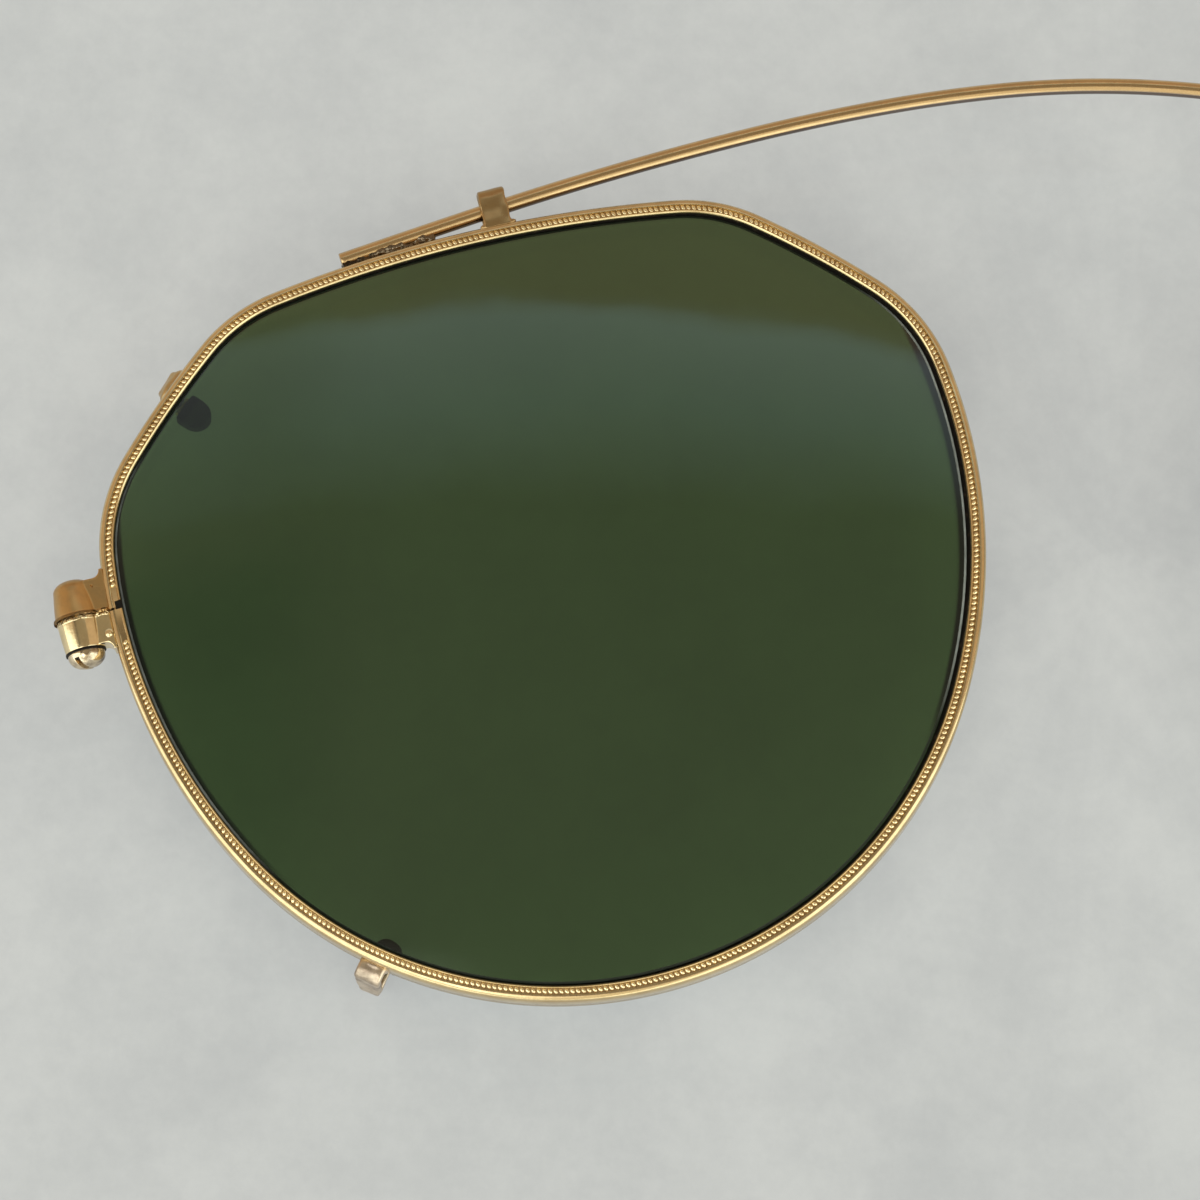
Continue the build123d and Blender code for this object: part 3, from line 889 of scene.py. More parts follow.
@dataclass
class Lens:
    """The domed glass with its bevelled edge and the tongue that sits in the rim's groove.

    Its front sits a little off centre in the opening, by drift in millimetres.
    """

    shape: LensShape
    recess: float = 0.35
    thickness: float = 1.4
    clearance: float = 0.03
    bevel: float = 0.17
    tongue: float = 0.27
    tongue_front: float = 0.73
    tongue_back: float = 1.32
    drift: tuple[float, float] = (-0.1, 0.02)
    rings: tuple[float, ...] = (0.992, 0.984, 0.972, 0.95, 0.89, 0.81, 0.71, 0.59, 0.45, 0.3, 0.15, 0.0)
    # The border sizes place the black painted shade of the rim's groove on the glass, strongest at the two
    # sides.
    border_shift: float = 0.12
    border_reach: float = 0.62
    border_fade: float = 0.18
    border_side: tuple[float, float] = (0.72, 0.2)
    # Where the ground strip's painted highlight at the two sides starts, and over what span.
    sheen_side: tuple[float, float] = (0.84, 0.1)

    def build_glass(self) -> bpy.types.Object:
        """The lens, its two faces drawn in ring by ring.

        Returns:
            The lens.
        """
        out, top, low = -self.clearance, self.recess, self.recess + self.thickness
        section = [
            (out - self.bevel, top),
            (out - self.bevel, top + 0.12),
            (out - 0.15, top + 0.2),
            (out - 0.14, 0.7),
            (out, self.tongue_front),
            (self.tongue, self.tongue_front),
            (self.tongue, self.tongue_back),
            (out, self.tongue_back),
            (out, low - 0.12),
            (out - 0.12, low),
        ]
        glass = self.shape.sweep_ring(section, "lens", closed=False)
        before = 1.0
        with edit_mode(glass, everything=False):
            bpy.ops.mesh.select_non_manifold()
            for share in self.rings:
                bpy.ops.mesh.extrude_edges_move()
                bpy.ops.transform.resize(value=(share / before,) * 2 + (1,), center_override=(0, 0, 0))
                before = share
        heal(glass, gap=MIRROR_GAP, close=False)
        for vertex in glass.data.vertices:
            if vertex.co.z > -(self.tongue_front - 0.02) * MM:
                vertex.co += mm(*self.drift, 0)
        # Mark where the glass gets the groove's painted shade.
        mark(glass, "border", self.groove_shade_at)
        self.shape.dome(glass)
        smooth(glass, degrees=18)
        return glass

    def groove_shade_at(self, vertex: bpy.types.MeshVertex) -> float:
        """How much painted shade of the rim's groove the glass gets at a place, strongest at the two sides.

        Args:
            vertex: a vertex of the lens while it is flat.

        Returns:
            A share from 0 to 1.
        """
        place = vertex.co / MM
        inward = self.shape.side_x(place.y) - abs(place.x + self.border_shift)
        sideways = share_of(abs(place.x) / max(place.xy.length, 1), *self.border_side)
        return share_of(self.border_reach - inward, 0.0, self.border_fade) * sideways

    def frost_and_sheen_at(self, vertex: bpy.types.MeshVertex) -> float:
        """How white the ground strip is at a vertex, as a share: ground glass with a painted highlight at
        the two sides.
        """
        return share_of(abs(vertex.co.x) / max(vertex.co.xy.length, MM), *self.sheen_side)

    def build_bevel(self) -> bpy.types.Object:
        """The ground strip on the lens's sharp front edge, with a painted highlight that makes it whitest
        at its two sides.

        Returns:
            The strip.
        """
        out, top = -self.clearance - self.bevel, self.recess
        front = [(out - 0.02, top - 0.004), (out + 0.1, top + 0.035)]
        back = [(out + 0.09, top + 0.09), (out - 0.01, top + 0.02)]
        strip = self.shape.sweep_ring(front + back, "bevel")
        # The mark holds the frosted grey and the painted highlight at the sides.
        mark(strip, "frost", self.frost_and_sheen_at)
        for vertex in strip.data.vertices:
            vertex.co += mm(*self.drift, 0)
        self.shape.dome(strip)
        return strip

    def build(self, finish: "Finish", frost: "Finish") -> list[Piece]:
        """The lens in the one finish and its ground bevel in the other, as pieces."""
        return [
            Piece(self.build_glass(), "lens", finish, "lens"),
            Piece(self.build_bevel(), "", frost, "lens_bevel"),
        ]


@dataclass
class ClosingBlock:
    """The barrel in two halves beside the saw cut, and the screw that draws them together.

    All sizes are in millimetres. Upper and lower are the barrel's reach from the parting line,
    bore_top and bore_bottom heights on the face. The bead's place counts from the rim's wall, the
    pit's from the barrel's axis, both of them up from the parting line and towards the front.
    """

    shape: LensShape
    standoff: float = 1.56
    belly: float = 1.2
    foot: float = 1.08
    foot_edge: float = 0.12
    upper: float = 2.18
    lower: float = 1.65
    dome_start: float = 0.7
    dome_radius: float = 1.02
    dome_fullness: float = 0.85
    swell: float = 1.5
    taper: float = 1.8
    gap: float = 0.04
    upper_lip: float = 0.1
    lower_lip: float = 0.03
    lower_share: float = 0.95
    web: float = 1.5
    web_high: float = 0.28
    web_low: float = 0.1
    flare: float = 0.4
    weld: float = 0.02
    bead_place: Triple = (-0.1, -1.15, 0.55)
    bead_size: Triple = (0.26, 0.24, 0.3)
    pit_place: Triple = (1.05, 1.5, 0.86)
    pit_size: Triple = (0.07, 0.11, 0.2)
    pit_turn: float = 0.4
    shaft: float = 0.55
    shaft_play: float = 0.02
    bore_top: float = 6.2
    bore_bottom: float = 2.5
    tip_below: float = 0.47
    head: float = 1.95
    head_height: float = 0.86
    head_rim: float = 0.16
    head_edge: float = 0.04
    head_fullness: float = 0.8
    slot_angle: float = 58.0
    slot_depth: float = 0.5
    slot_width: float = 0.28
    slot_run: float = 2.4
    slot_over: float = 0.3

    @property
    def parting(self) -> float:
        """Height of the parting line on the face."""
        return self.shape.parting

    @property
    def wall(self) -> float:
        """Where the rim's outer wall stands at the parting line."""
        return -self.shape.wall_at(self.parting)

    @property
    def seat(self) -> float:
        """Height on the face of the barrel's foot, where the screw's head is seated."""
        return self.parting - self.lower

    @property
    def axis(self) -> Vector:
        """A point of the barrel's axis."""
        across = math.hypot(self.wall, self.parting)
        height = self.shape.height(across, self.shape.rim_depth / 2)
        return Vector((self.wall - self.standoff, self.parting, height))

    def turned(self, profile: Sequence[Sequence[float]], steps: int, name: str) -> bpy.types.Object:
        """A piece turned about the barrel's axis.

        Args:
            profile: radius and height on the face of each corner.
            steps: sections all round.
            name: the object's name.

        Returns:
            The closed piece.
        """
        axis = self.axis
        points = [mm(axis.x - radius, y, axis.z) for radius, y in profile]
        return spun(points, axis * MM, BROW, steps, name)

    def keg(self) -> list[Vector]:
        """The barrel's profile from the dome's tip down to its foot.

        Returns:
            Radius and height on the face of each corner.
        """
        top = self.parting + self.upper
        dome = self.parting + self.dome_start * self.upper
        bottom = self.seat
        full = self.dome_fullness
        points = [Vector((0, top))]
        for step in range(1, 9):
            angle = math.pi / 2 * step / 8
            rise = (top - dome) * math.cos(angle) ** full
            points.append(Vector((self.dome_radius * math.sin(angle) ** full, dome + rise)))
        for step in range(1, 7):
            share = step / 6
            swell = 1 - (1 - share) ** self.swell
            radius = self.dome_radius + (self.belly - self.dome_radius) * swell
            points.append(Vector((radius, dome + (self.parting - dome) * share)))
        for step in range(1, 7):
            share = step / 6
            radius = self.belly + (self.foot - self.belly) * share**self.taper
            points.append(Vector((radius, self.parting + (bottom - self.parting) * share)))
        return points + [Vector((self.foot - self.foot_edge, bottom)), Vector((0, bottom))]

    def web_plan(self) -> list[Vector]:
        """The web between barrel and rim seen from the front, flared at the rim.

        Returns:
            Its corners at the web's back, in metres.
        """
        axis, wall, flare = self.axis, self.wall, self.flare
        high = self.parting + self.upper - self.web_high
        low = self.seat + self.web_low
        neck, root = wall - flare, wall + 0.2
        points = [Vector((neck, high)), Vector((axis.x, high)), Vector((axis.x, low)), Vector((neck, low))]
        points += self.fillet(Vector((neck, low - flare, 0)), Vector((neck, low, 0)))
        points += [Vector((root, low - flare)), Vector((root, high + flare)), Vector((wall, high + flare))]
        points += self.fillet(Vector((neck, high + flare, 0)), Vector((wall, high + flare, 0)))[:-1]
        return [mm(point.x, point.y, axis.z - self.web / 2) for point in points]

    @staticmethod
    def fillet(centre: Vector, start: Vector) -> list[Vector]:
        """Flat points of a quarter turn to the right, without its first one."""
        return [point.to_2d() for point in arc_points(centre, start, -math.pi / 2, UP, 6)]

    def blank(self) -> bpy.types.Object:
        """Barrel and web run together in one soft skin, with a bead of solder and a pit.

        Returns:
            The block before it is parted.
        """
        axis = self.axis
        barrel = self.turned(self.keg(), 40, "barrel")
        web = slab(self.web_plan(), mm(0, 0, self.web), "web")
        bead = Vector((self.wall, self.parting, axis.z)) + Vector(self.bead_place)
        block = joined("block", [barrel, web, blob(bead, Vector(self.bead_size), 0, "bead")])
        soften(block, grain=0.04, rounds=5)
        pit = axis + Vector(self.pit_place)
        cut(block, blob(pit, Vector(self.pit_size), self.pit_turn, "pit"))
        return block

    def half(self, side: int) -> bpy.types.Object:
        """One half of the barrel.

        Args:
            side: 1 for the half above the parting line, -1 for the one below it.

        Returns:
            The half, its lip at the parting line drawn in and its bore cut.
        """
        block = self.blank()
        lip = self.upper_lip if side > 0 else self.lower_lip
        level = mm(0, self.parting + side * (self.gap / 2 + lip), 0)
        with edit_mode(block):
            bpy.ops.mesh.bisect(plane_co=level, plane_no=(0, side, 0), use_fill=True, clear_inner=True)
            bpy.ops.mesh.remove_doubles(threshold=self.weld * MM)
            bpy.ops.mesh.inset(thickness=lip * MM, depth=lip * MM, use_even_offset=False)
        bore = self.shaft + self.shaft_play
        top, bottom = self.bore_top, self.bore_bottom
        profile = [(0, top), (bore, top), (bore, bottom), (0, bottom)]
        cut(block, self.turned(profile, 24, "bore"))
        bevel(block, width=0.02, segments=1, degrees=60)
        heal(block, close=False)
        if side < 0:
            axis = self.axis * MM
            shrink = Matrix.Diagonal((self.lower_share, 1, self.lower_share, 1))
            block.data.transform(Matrix.Translation(axis) @ shrink @ Matrix.Translation(-axis))
        smooth(block, degrees=40)
        return block

    def slot_bar(
        self, run: float, width: float, start: float, depth: float, low: float, name: str
    ) -> bpy.types.Object:
        """A bar that lies in the screw's slot.

        Args:
            run: its length along the slot.
            width: its width across the slot.
            start: where it begins, up from low.
            depth: its height.
            low: the height on the face that it is measured from.
            name: the object's name.

        Returns:
            The closed bar, turned as the slot is.
        """
        axis, along, beside = self.axis, run / 2, width / 2
        plan = ((-along, -beside), (along, -beside), (along, beside), (-along, beside))
        bar = slab([mm(x, start, z) for x, z in plan], mm(0, depth, 0), name)
        turn = Matrix.Rotation(math.radians(self.slot_angle), 4, "Y")
        bar.data.transform(Matrix.Translation(mm(axis.x, low, axis.z)) @ turn)
        return bar

    def screw(self) -> bpy.types.Object:
        """The slotted round-headed screw, put in from below.

        Returns:
            The screw.
        """
        seat, shaft, radius = self.seat, self.shaft, self.head / 2
        tip = self.parting + self.upper - self.tip_below
        low = seat - self.head_height
        profile = [(0, tip), (shaft - 0.05, tip), (shaft, tip - 0.05), (shaft, seat)]
        profile += [(radius - self.head_edge, seat), (radius, seat - self.head_edge)]
        profile += [(radius, seat - self.head_rim)]
        for step in range(1, 8):
            angle = math.pi / 2 * step / 8
            drop = (self.head_height - self.head_rim) * math.sin(angle)
            across = radius * math.cos(angle) ** self.head_fullness
            profile.append((across, seat - self.head_rim - drop))
        screw = self.turned([*profile, (0, low)], 48, "screw")
        over = self.slot_over
        depth = over + self.slot_depth
        cut(screw, self.slot_bar(self.slot_run, self.slot_width, -over, depth, low, "blade"))
        bevel(screw, width=0.025, segments=2, degrees=40)
        smooth(screw, degrees=40)
        return screw

    def grease(self) -> bpy.types.Object:
        """Painted shade: a near-black ring under the screw's head and a near-black sheet on the floor of
        its slot.

        Returns:
            Both as one piece.
        """
        axis, seat = self.axis, self.seat
        inner, outer = self.shaft + 0.01, self.foot - 0.03
        high, low = seat + 0.02, seat - 0.09
        profile = [(inner, high), (outer, high), (outer, low), (inner, low)]
        collar = ring_of([mm(axis.x - r, y, axis.z) for r, y in profile], "collar")
        with edit_mode(collar):
            bpy.ops.mesh.spin(steps=36, dupli=False, angle=math.tau, center=axis * MM, axis=BROW)
        heal(collar, gap=LATHE_GAP, close=False)
        low = seat - self.head_height + self.slot_depth - 0.05
        floor = self.slot_bar(run=1.8, width=0.29, start=0, depth=0.1, low=low, name="slot floor")
        return joined("screw shade fill", [collar, floor])

    def build(
        self, upper_finish: "Finish", lower_finish: "Finish", screw_finish: "Finish", grease: "Finish"
    ) -> list[Piece]:
        """Both halves, the screw and the painted shade at the screw.

        Args:
            upper_finish: the finish of the half above the parting line.
            lower_finish: the finish of the half below it.
            screw_finish: the screw's finish.
            grease: the finish of the painted shade at the screw.

        Returns:
            The pieces.
        """
        return [
            Piece(self.half(1), "closing_block_upper", upper_finish, "closing_block_upper"),
            Piece(self.half(-1), "closing_block_lower", lower_finish, "closing_block_lower"),
            Piece(self.screw(), "closing_screw", screw_finish, "closing_screw"),
            # The near-black ring and slot sheet at the screw are painted shade.
            Piece(self.grease(), "", grease, "screw_shade"),
        ]


def strap(
    start: Vector,
    outward: Vector,
    width: float,
    thickness: float,
    path: Sequence[tuple[float, float]],
    name: str,
) -> bpy.types.Object:
    """A flat strip that sets off outwards and folds down and back under.

    Args:
        start: the middle of its first end, in millimetres.
        outward: the way that it sets off, level and of length one.
        width: its width in millimetres.
        thickness: its thickness in millimetres.
        path: straight run and bend radius in turns; a radius of zero ends the strip.
        name: the object's name.

    Returns:
        The closed strip.
    """
    across = UP.cross(outward)
    half, rise, nick = width / 2, thickness / 2, thickness * 0.22
    corners = [(half - nick, rise), (half, rise - nick), (half, nick - rise), (half - nick, -rise)]
    corners += [(-a, b) for a, b in corners[::-1]]
    points = [(start + across * a + Vector((0, 0, b))) * MM for a, b in corners]
    strip = ring_of(points, name)
    with edit_mode(strip):
        sweep = Sweep(start * MM, outward.copy(), across)
        for length, radius in path:
            for _ in range(4):
                sweep.run(length * MM / 4)
            if radius:
                sweep.turn(radius * MM, math.pi / 2, 8)
    heal(strip)
    return strip


@dataclass
class Claw:
    """A hooked strip soldered to the rim's wall, with a soft black boot on its tip.

    Sizes are in millimetres. Each solder drop has its place from the root, as outwards, aside and
    up, and its half length, breadth and height, which the claw's own solder share scales.
    """

    which: str
    shape: LensShape
    root: Vector
    outward: Vector
    bulge: float
    solder: float = 1.0
    thickness: float = 0.4
    width: float = 1.4
    tip_width: float = 1.0
    bend: float = 0.32
    reach: float = 2.05
    pad_length: float = 1.55
    pad_width: float = 1.6
    pad_thickness: float = 0.95
    pad_cover: float = 0.25
    pad_edge: float = 0.16
    sink: float = 0.05
    full_width: float = 0.6
    low_part: float = 1.5
    leg_narrowing: float = 0.24
    drops: tuple[tuple[Triple, Triple], ...] = (
        ((0.02, 0.0, -0.12), (0.8, 0.3, 0.42)),
        ((0.0, 0.42, -0.2), (0.42, 0.22, 0.42)),
    )

    @property
    def across(self) -> Vector:
        """The level direction along the rim at the claw."""
        return UP.cross(self.outward)

    def spot(self, out: float, aside: float, height: float) -> Vector:
        """A point given outwards and aside from the claw's root and by its height over the feet."""
        return self.root + self.outward * out + self.across * aside + Vector((0, 0, height))

    def build_strip(self) -> bpy.types.Object:
        """The hook, narrowed to its tip, with the solder at its root.

        Returns:
            The hook.
        """
        top = self.shape.height(self.root.length, self.shape.rim_depth / 2)
        leg = self.bulge - self.thickness / 2
        foot = self.pad_cover + self.thickness / 2
        tip = self.reach - self.pad_cover
        path = [
            (leg - self.bend + self.sink, self.bend),
            (top - foot - 2 * self.bend, self.bend),
            (leg - self.bend + tip, 0),
        ]
        start = self.spot(-self.sink, 0, top)
        strip = strap(start, self.outward, self.width, self.thickness, path, "claw")
        narrowing = (self.width - self.tip_width) / (tip - self.full_width)
        for vertex in strip.data.vertices:
            offset = vertex.co / MM - self.root
            inward = -offset.dot(self.outward) - self.full_width
            if inward > 0 and vertex.co.z < self.low_part * MM:
                aside = offset.dot(self.across)
                vertex.co -= self.across * (aside * inward * narrowing / self.width * MM)
        for vertex in strip.data.vertices:
            sunk = share_of(top - vertex.co.z / MM, 0.0, top - foot)
            aside = (vertex.co / MM - self.root).dot(self.across)
            vertex.co -= self.across * (aside * self.leg_narrowing * sunk**2 * MM)
        turn = math.atan2(self.across.y, self.across.x)
        drops = [
            blob(self.spot(out, aside, top + up), Vector(size) * self.solder, turn)
            for (out, aside, up), size in self.drops
        ]
        claw = joined("claw", [strip, *drops])
        soften(claw, grain=0.05, rounds=16)
        lump(claw, height=0.07, grain=0.7, seed=self.outward.x * 7)
        return claw

    def build_boot(self) -> bpy.types.Object:
        """The D-shaped boot with rounded edges, round on its inner side.

        Returns:
            The boot.
        """
        radius = self.pad_width / 2
        centre = -(self.reach - radius)
        outer = centre + self.pad_length - radius
        points = [self.spot(outer, -radius, 0), self.spot(outer, radius, 0)]
        for step in range(17):
            angle = math.pi / 2 + math.pi * step / 16
            points.append(self.spot(centre + radius * math.cos(angle), radius * math.sin(angle), 0))
        boot = slab([point * MM for point in points], mm(0, 0, self.pad_thickness), "boot")
        bevel(boot, width=self.pad_edge, segments=4, degrees=40)
        soften(boot, grain=0.05, rounds=3)
        lump(boot, height=0.04, grain=0.5, seed=3.0)
        return boot

    def build(self, finish: "Finish", boot_finish: "Finish") -> list[Piece]:
        """The hook in the one finish and its boot in the other, as pieces."""
        hook, boot = f"{self.which}_claw", f"{self.which}_claw_pad"
        return [
            Piece(self.build_strip(), hook, finish, hook),
            Piece(self.build_boot(), boot, boot_finish, boot),
        ]


@dataclass
class WireRoot:
    """What holds the bow wire on the rim: the braze at its end and the keeper strap.

    Sizes are in millimetres. Wall_grip is how far the strap's feet reach into the rim.
    """

    shape: LensShape
    wire_radius: float = WIRE_RADIUS
    touch_x: float = -6.7
    slope: float = 6.2
    gap: float = 0.085
    braze_start: float = -0.1
    braze_end: float = 4.9
    braze_thickness: float = 0.66
    keeper_x: float = 1.53
    keeper_width: float = 1.42
    keeper_height: float = 2.12
    keeper_thickness: float = 0.27
    keeper_play: float = 0.12
    keeper_bend: float = 0.465
    wall_grip: float = 0.1
    drop_spread: float = 0.62
    drop_size: Triple = (0.34, 0.16, 0.16)
    braze_into_wire: float = 0.2
    braze_into_wall: float = 0.05
    braze_steps: int = 24

    @property
    def wire_height(self) -> float:
        """Height of the wire's axis over the feet."""
        shape = self.shape
        return shape.height(shape.top_middle_y + shape.rim_width, shape.rim_depth / 2)

    def wall_y(self, x: float) -> float:
        """Where the rim's top wall stands at a place across."""
        radius, outer = self.shape.top_radius, self.shape.top_radius + self.shape.rim_width
        return self.shape.top_middle_y - radius + math.sqrt(outer**2 - x**2)

    def build_keeper(self) -> bpy.types.Object:
        """The strap folded over the wire, with solder at both its feet.

        Returns:
            The strap.
        """
        wall, bend, grip = self.wall_y(self.keeper_x), self.keeper_bend, self.wall_grip
        rise = self.wire_radius + self.keeper_play + self.keeper_thickness / 2
        reach = self.keeper_height - self.keeper_thickness / 2 - bend
        start = Vector((self.keeper_x, wall - grip, self.wire_height + rise))
        path = [(reach + grip, bend), (2 * (rise - bend), bend), (reach + grip, 0)]
        strip = strap(start, BROW, self.keeper_width, self.keeper_thickness, path, "keeper")
        drops = []
        for aside in (-self.drop_spread, 0.0, self.drop_spread):
            for side in (-1, 1):
                height = self.wire_height + side * (rise - 0.05)
                place = Vector((self.keeper_x + aside, wall + 0.03, height))
                drops.append(blob(place, Vector(self.drop_size), 0))
        keeper = joined("keeper", [strip, *drops])
        soften(keeper, grain=0.04, rounds=5)
        lump(keeper, height=0.035, grain=0.6, seed=1.3)
        return keeper

    def build_braze(self) -> bpy.types.Object:
        """The run of solder between wire and rim, lumpy and drawn in at its end.

        Returns:
            The solder.
        """
        slope = math.radians(self.slope)
        way = Vector((math.cos(slope), math.sin(slope)))
        reach = self.shape.top_radius + self.shape.rim_width + self.gap + self.wire_radius
        centre = self.shape.top_middle_y - self.shape.top_radius
        touch = Vector((self.touch_x, centre + math.sqrt(reach**2 - self.touch_x**2)))
        length, back = self.braze_end - self.braze_start, self.wire_height - self.braze_thickness / 2
        upper, lower = [], []
        for step in range(self.braze_steps + 1):
            place = touch + way * (self.braze_start + length * step / self.braze_steps)
            upper.append(mm(place.x, place.y - self.braze_into_wire, back))
            lower.append(mm(place.x, self.wall_y(place.x) - self.braze_into_wall, back))
        braze = slab(lower + upper[::-1], mm(0, 0, self.braze_thickness), "braze")
        soften(braze, grain=0.045, rounds=3)
        lump(braze, height=0.22, grain=0.5, seed=5.0)
        lump(braze, height=0.1, grain=0.2, seed=8.0)
        return braze

    def build(self, finish: "Finish", solder: "Finish") -> list[Piece]:
        """The keeper in the one finish and the braze in the other, as pieces."""
        return [
            Piece(self.build_keeper(), "wire_keeper", finish, "wire_keeper"),
            Piece(self.build_braze(), "wire_braze", solder, "wire_braze"),
        ]


@dataclass
class BowWire:
    """The round wire from rim to rim: a straight tail and tangent arcs, twice.

    Sizes are in millimetres, the slope at the root in degrees. Each arc is its radius and its
    share of that slope. Lit_side is the way that the wire's lit side faces, towards the brow and
    towards the front, and shade_edge where the painted shade on the other side begins and over
    what span.
    """

    radius: float = WIRE_RADIUS
    crown: tuple[float, float] = (24.1096, 4.7464)
    root_slope: float = 19.9
    tail: float = 0.17
    arcs: tuple[tuple[float, float], ...] = (
        (860.0, 0.5),
        (177.0, 4.7),
        (105.0, 4.5),
        (72.0, 4.3),
        (50.4, 5.9),
    )
    flex_reach: float = 14.0
    sides: int = 24
    section_pitch: float = 0.5
    fewest_sections: int = 4
    end_edge: float = 0.06
    lit_side: tuple[float, float] = (0.97, 0.24)
    shade_edge: tuple[float, float] = (-0.5, 0.16)

    def turns(self) -> list[tuple[float, float]]:
        """Radius and angle of each arc of half a bow, root to crown, angles in radians."""
        shares = sum(share for _, share in self.arcs)
        return [(radius, math.radians(self.root_slope * share / shares)) for radius, share in self.arcs]

    def root(self) -> Vector:
        """Where the wire's axis touches down on the rim.

        Returns:
            The place in millimetres.
        """
        heading = math.radians(self.root_slope)
        across = rise = 0.0
        for radius, turn in self.turns():
            across += radius * (math.sin(heading) - math.sin(heading - turn))
            rise += radius * (math.cos(heading - turn) - math.cos(heading))
            heading -= turn
        return Vector((-across, self.crown[0] - rise, self.crown[1]))

    def draw(self) -> bpy.types.Object:
        """Sweep a round section along tail, arcs and tail.

        Returns:
            The wire with both its ends closed.
        """
        slope = math.radians(self.root_slope)
        heading = Vector((math.cos(slope), math.sin(slope), 0))
        aside = Vector((-heading.y, heading.x, 0))
        start = self.root() - heading * self.tail
        points = []
        for step in range(self.sides):
            angle = math.tau * step / self.sides
            offset = aside * math.cos(angle) + Vector((0, 0, math.sin(angle)))
            points.append((start + offset * self.radius) * MM)
        wire = ring_of(points, "bow_wire_drawn")
        turns = self.turns()
        with edit_mode(wire):
            sweep = Sweep(start * MM, heading)
            sweep.run(self.tail * MM)
            for radius, turn in turns + turns[::-1]:
                steps = max(self.fewest_sections, round(radius * turn / self.section_pitch))
                sweep.turn(radius * MM, -turn, steps)
            sweep.run(self.tail * MM)
        heal(wire)
        bevel(wire, width=self.end_edge, segments=2, degrees=60)
        smooth(wire, degrees=40)
        return wire

    def shade_at(self, vertex: bpy.types.MeshVertex) -> float:
        """How much painted shade the wire gets at a vertex, by the way its face turns, as a share."""
        facing = self.lit_side[0] * vertex.normal.y + self.lit_side[1] * vertex.normal.z
        return share_of(self.shade_edge[0] - facing, 0.0, self.shade_edge[1])

    def build(self, finish: "Finish") -> None:
        """Draw the wire and dress it.

        Args:
            finish: the wire's finish.
        """
        wire = self.draw()
        # Painted shade on the side that faces the near side and down.
        mark(wire, "worn", self.shade_at)
        wire.data.materials.append(finish.material())
        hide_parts("bow_wire")
        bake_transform(wire)
        LOG.info("%s: %d faces", wire.name, len(wire.data.polygons))


# ---- finishes -------------------------------------------------------------------------

NODE_ACROSS, NODE_DOWN, NODES_IN_ROW = 180, 220, 12


class Bench:
    """Places the nodes of one tree and joins them."""

    def __init__(self, tree: bpy.types.NodeTree) -> None:
        """Start on an empty tree."""
        self.tree = tree
        tree.nodes.clear()

    def node(
        self, kind: str, settings: dict[str, object] | None = None, **inputs: object
    ) -> bpy.types.Node:
        """Add a node.

        Args:
            kind: the node's type without its ShaderNode prefix.
            settings: properties of the node itself.
            **inputs: values or output sockets for its inputs, spaces written as underscores;
                a name such as in0 means the input by its number.

        Returns:
            The new node.
        """
        node = self.tree.nodes.new(kind if kind.startswith("Node") else "ShaderNode" + kind)
        count = len(self.tree.nodes)
        node.location = (NODE_ACROSS * (count % NODES_IN_ROW), -NODE_DOWN * (count // NODES_IN_ROW))
        for name, value in (settings or {}).items():
            setattr(node, name, value)
        for name, value in inputs.items():
            numbered = name.startswith("in") and name[2:].isdigit()
            key = int(name[2:]) if numbered else name.replace("_", " ")
            self.feed(node.inputs[key], value)
        return node

    def feed(self, socket: bpy.types.NodeSocket, value: object) -> None:
        """Set a socket to a value, or link an output socket to it.

        Args:
            socket: the input.
            value: a number, a colour or an output socket.
        """
        if isinstance(value, bpy.types.NodeSocket):
            self.tree.links.new(value, socket)
        elif socket.type == "RGBA" and len(value) == 3:
            socket.default_value = (*value, 1)
        else:
            socket.default_value = value

    def place(self) -> bpy.types.NodeSocket:
        """The place on the object, in metres."""
        return self.node("TexCoord").outputs["Object"]

    def marked(self, name: str) -> bpy.types.NodeSocket:
        """The value that the mesh's vertices were given under a name."""
        return self.node("Attribute", {"attribute_name": name}).outputs["Fac"]

    def noise(self, place: object, scale: object, detail: float, rough: float) -> bpy.types.NodeSocket:
        """A noise value between 0 and 1 at a place; the scale counts features per metre."""
        node = self.node("TexNoise", Vector=place, Scale=scale, Detail=detail, Roughness=rough)
        return node.outputs["Fac"]

    def ramp(
        self, value: object, low: float, high: float, start: float = 0, end: float = 1
    ) -> bpy.types.NodeSocket:
        """Map a value smoothly, clamped at both ends.

        Args:
            value: the value.
            low: where it starts to change the result.
            high: where it stops.
            start: the result up to low.
            end: the result from high on.

        Returns:
            The result's socket.
        """
        edges = {"From_Min": low, "From_Max": high, "To_Min": start, "To_Max": end}
        node = self.node("MapRange", {"interpolation_type": "SMOOTHSTEP"}, Value=value, **edges)
        return node.outputs["Result"]

    def ramp_linear(self, value: object, low: float, high: float) -> bpy.types.NodeSocket:
        """Map a value from low..high to 0..1 in a straight line, clamped."""
        return self.node("MapRange", Value=value, From_Min=low, From_Max=high).outputs["Result"]

    def work_out(self, kind: str, first: object, *others: object) -> bpy.types.NodeSocket:
        """Take values together one after another by one kind of sum.

        Args:
            kind: the math node's operation.
            first: the first value.
            *others: what comes to it, in order.

        Returns:
            The result's socket.
        """
        for other in others:
            first = self.node("Math", {"operation": kind}, in0=first, in1=other).outputs[0]
        return first

    def plus(self, *values: object) -> bpy.types.NodeSocket:
        """The sum of values."""
        return self.work_out("ADD", *values)

    def less(self, *values: object) -> bpy.types.NodeSocket:
        """The first value less the others."""
        return self.work_out("SUBTRACT", *values)

    def times(self, *values: object) -> bpy.types.NodeSocket:
        """The product of values."""
        return self.work_out("MULTIPLY", *values)

    def blend(self, share: object, first: object, second: object) -> bpy.types.NodeSocket:
        """Mix two colours; the share is the second one's."""
        return self.node("Mix", {"data_type": "RGBA"}, in0=share, in6=first, in7=second).outputs[2]

    def coat(self, **inputs: object) -> None:
        """The surface shader with its inputs, joined to the material's output."""
        shader = self.node("BsdfPrincipled", **inputs)
        self.node("OutputMaterial", Surface=shader.outputs[0])


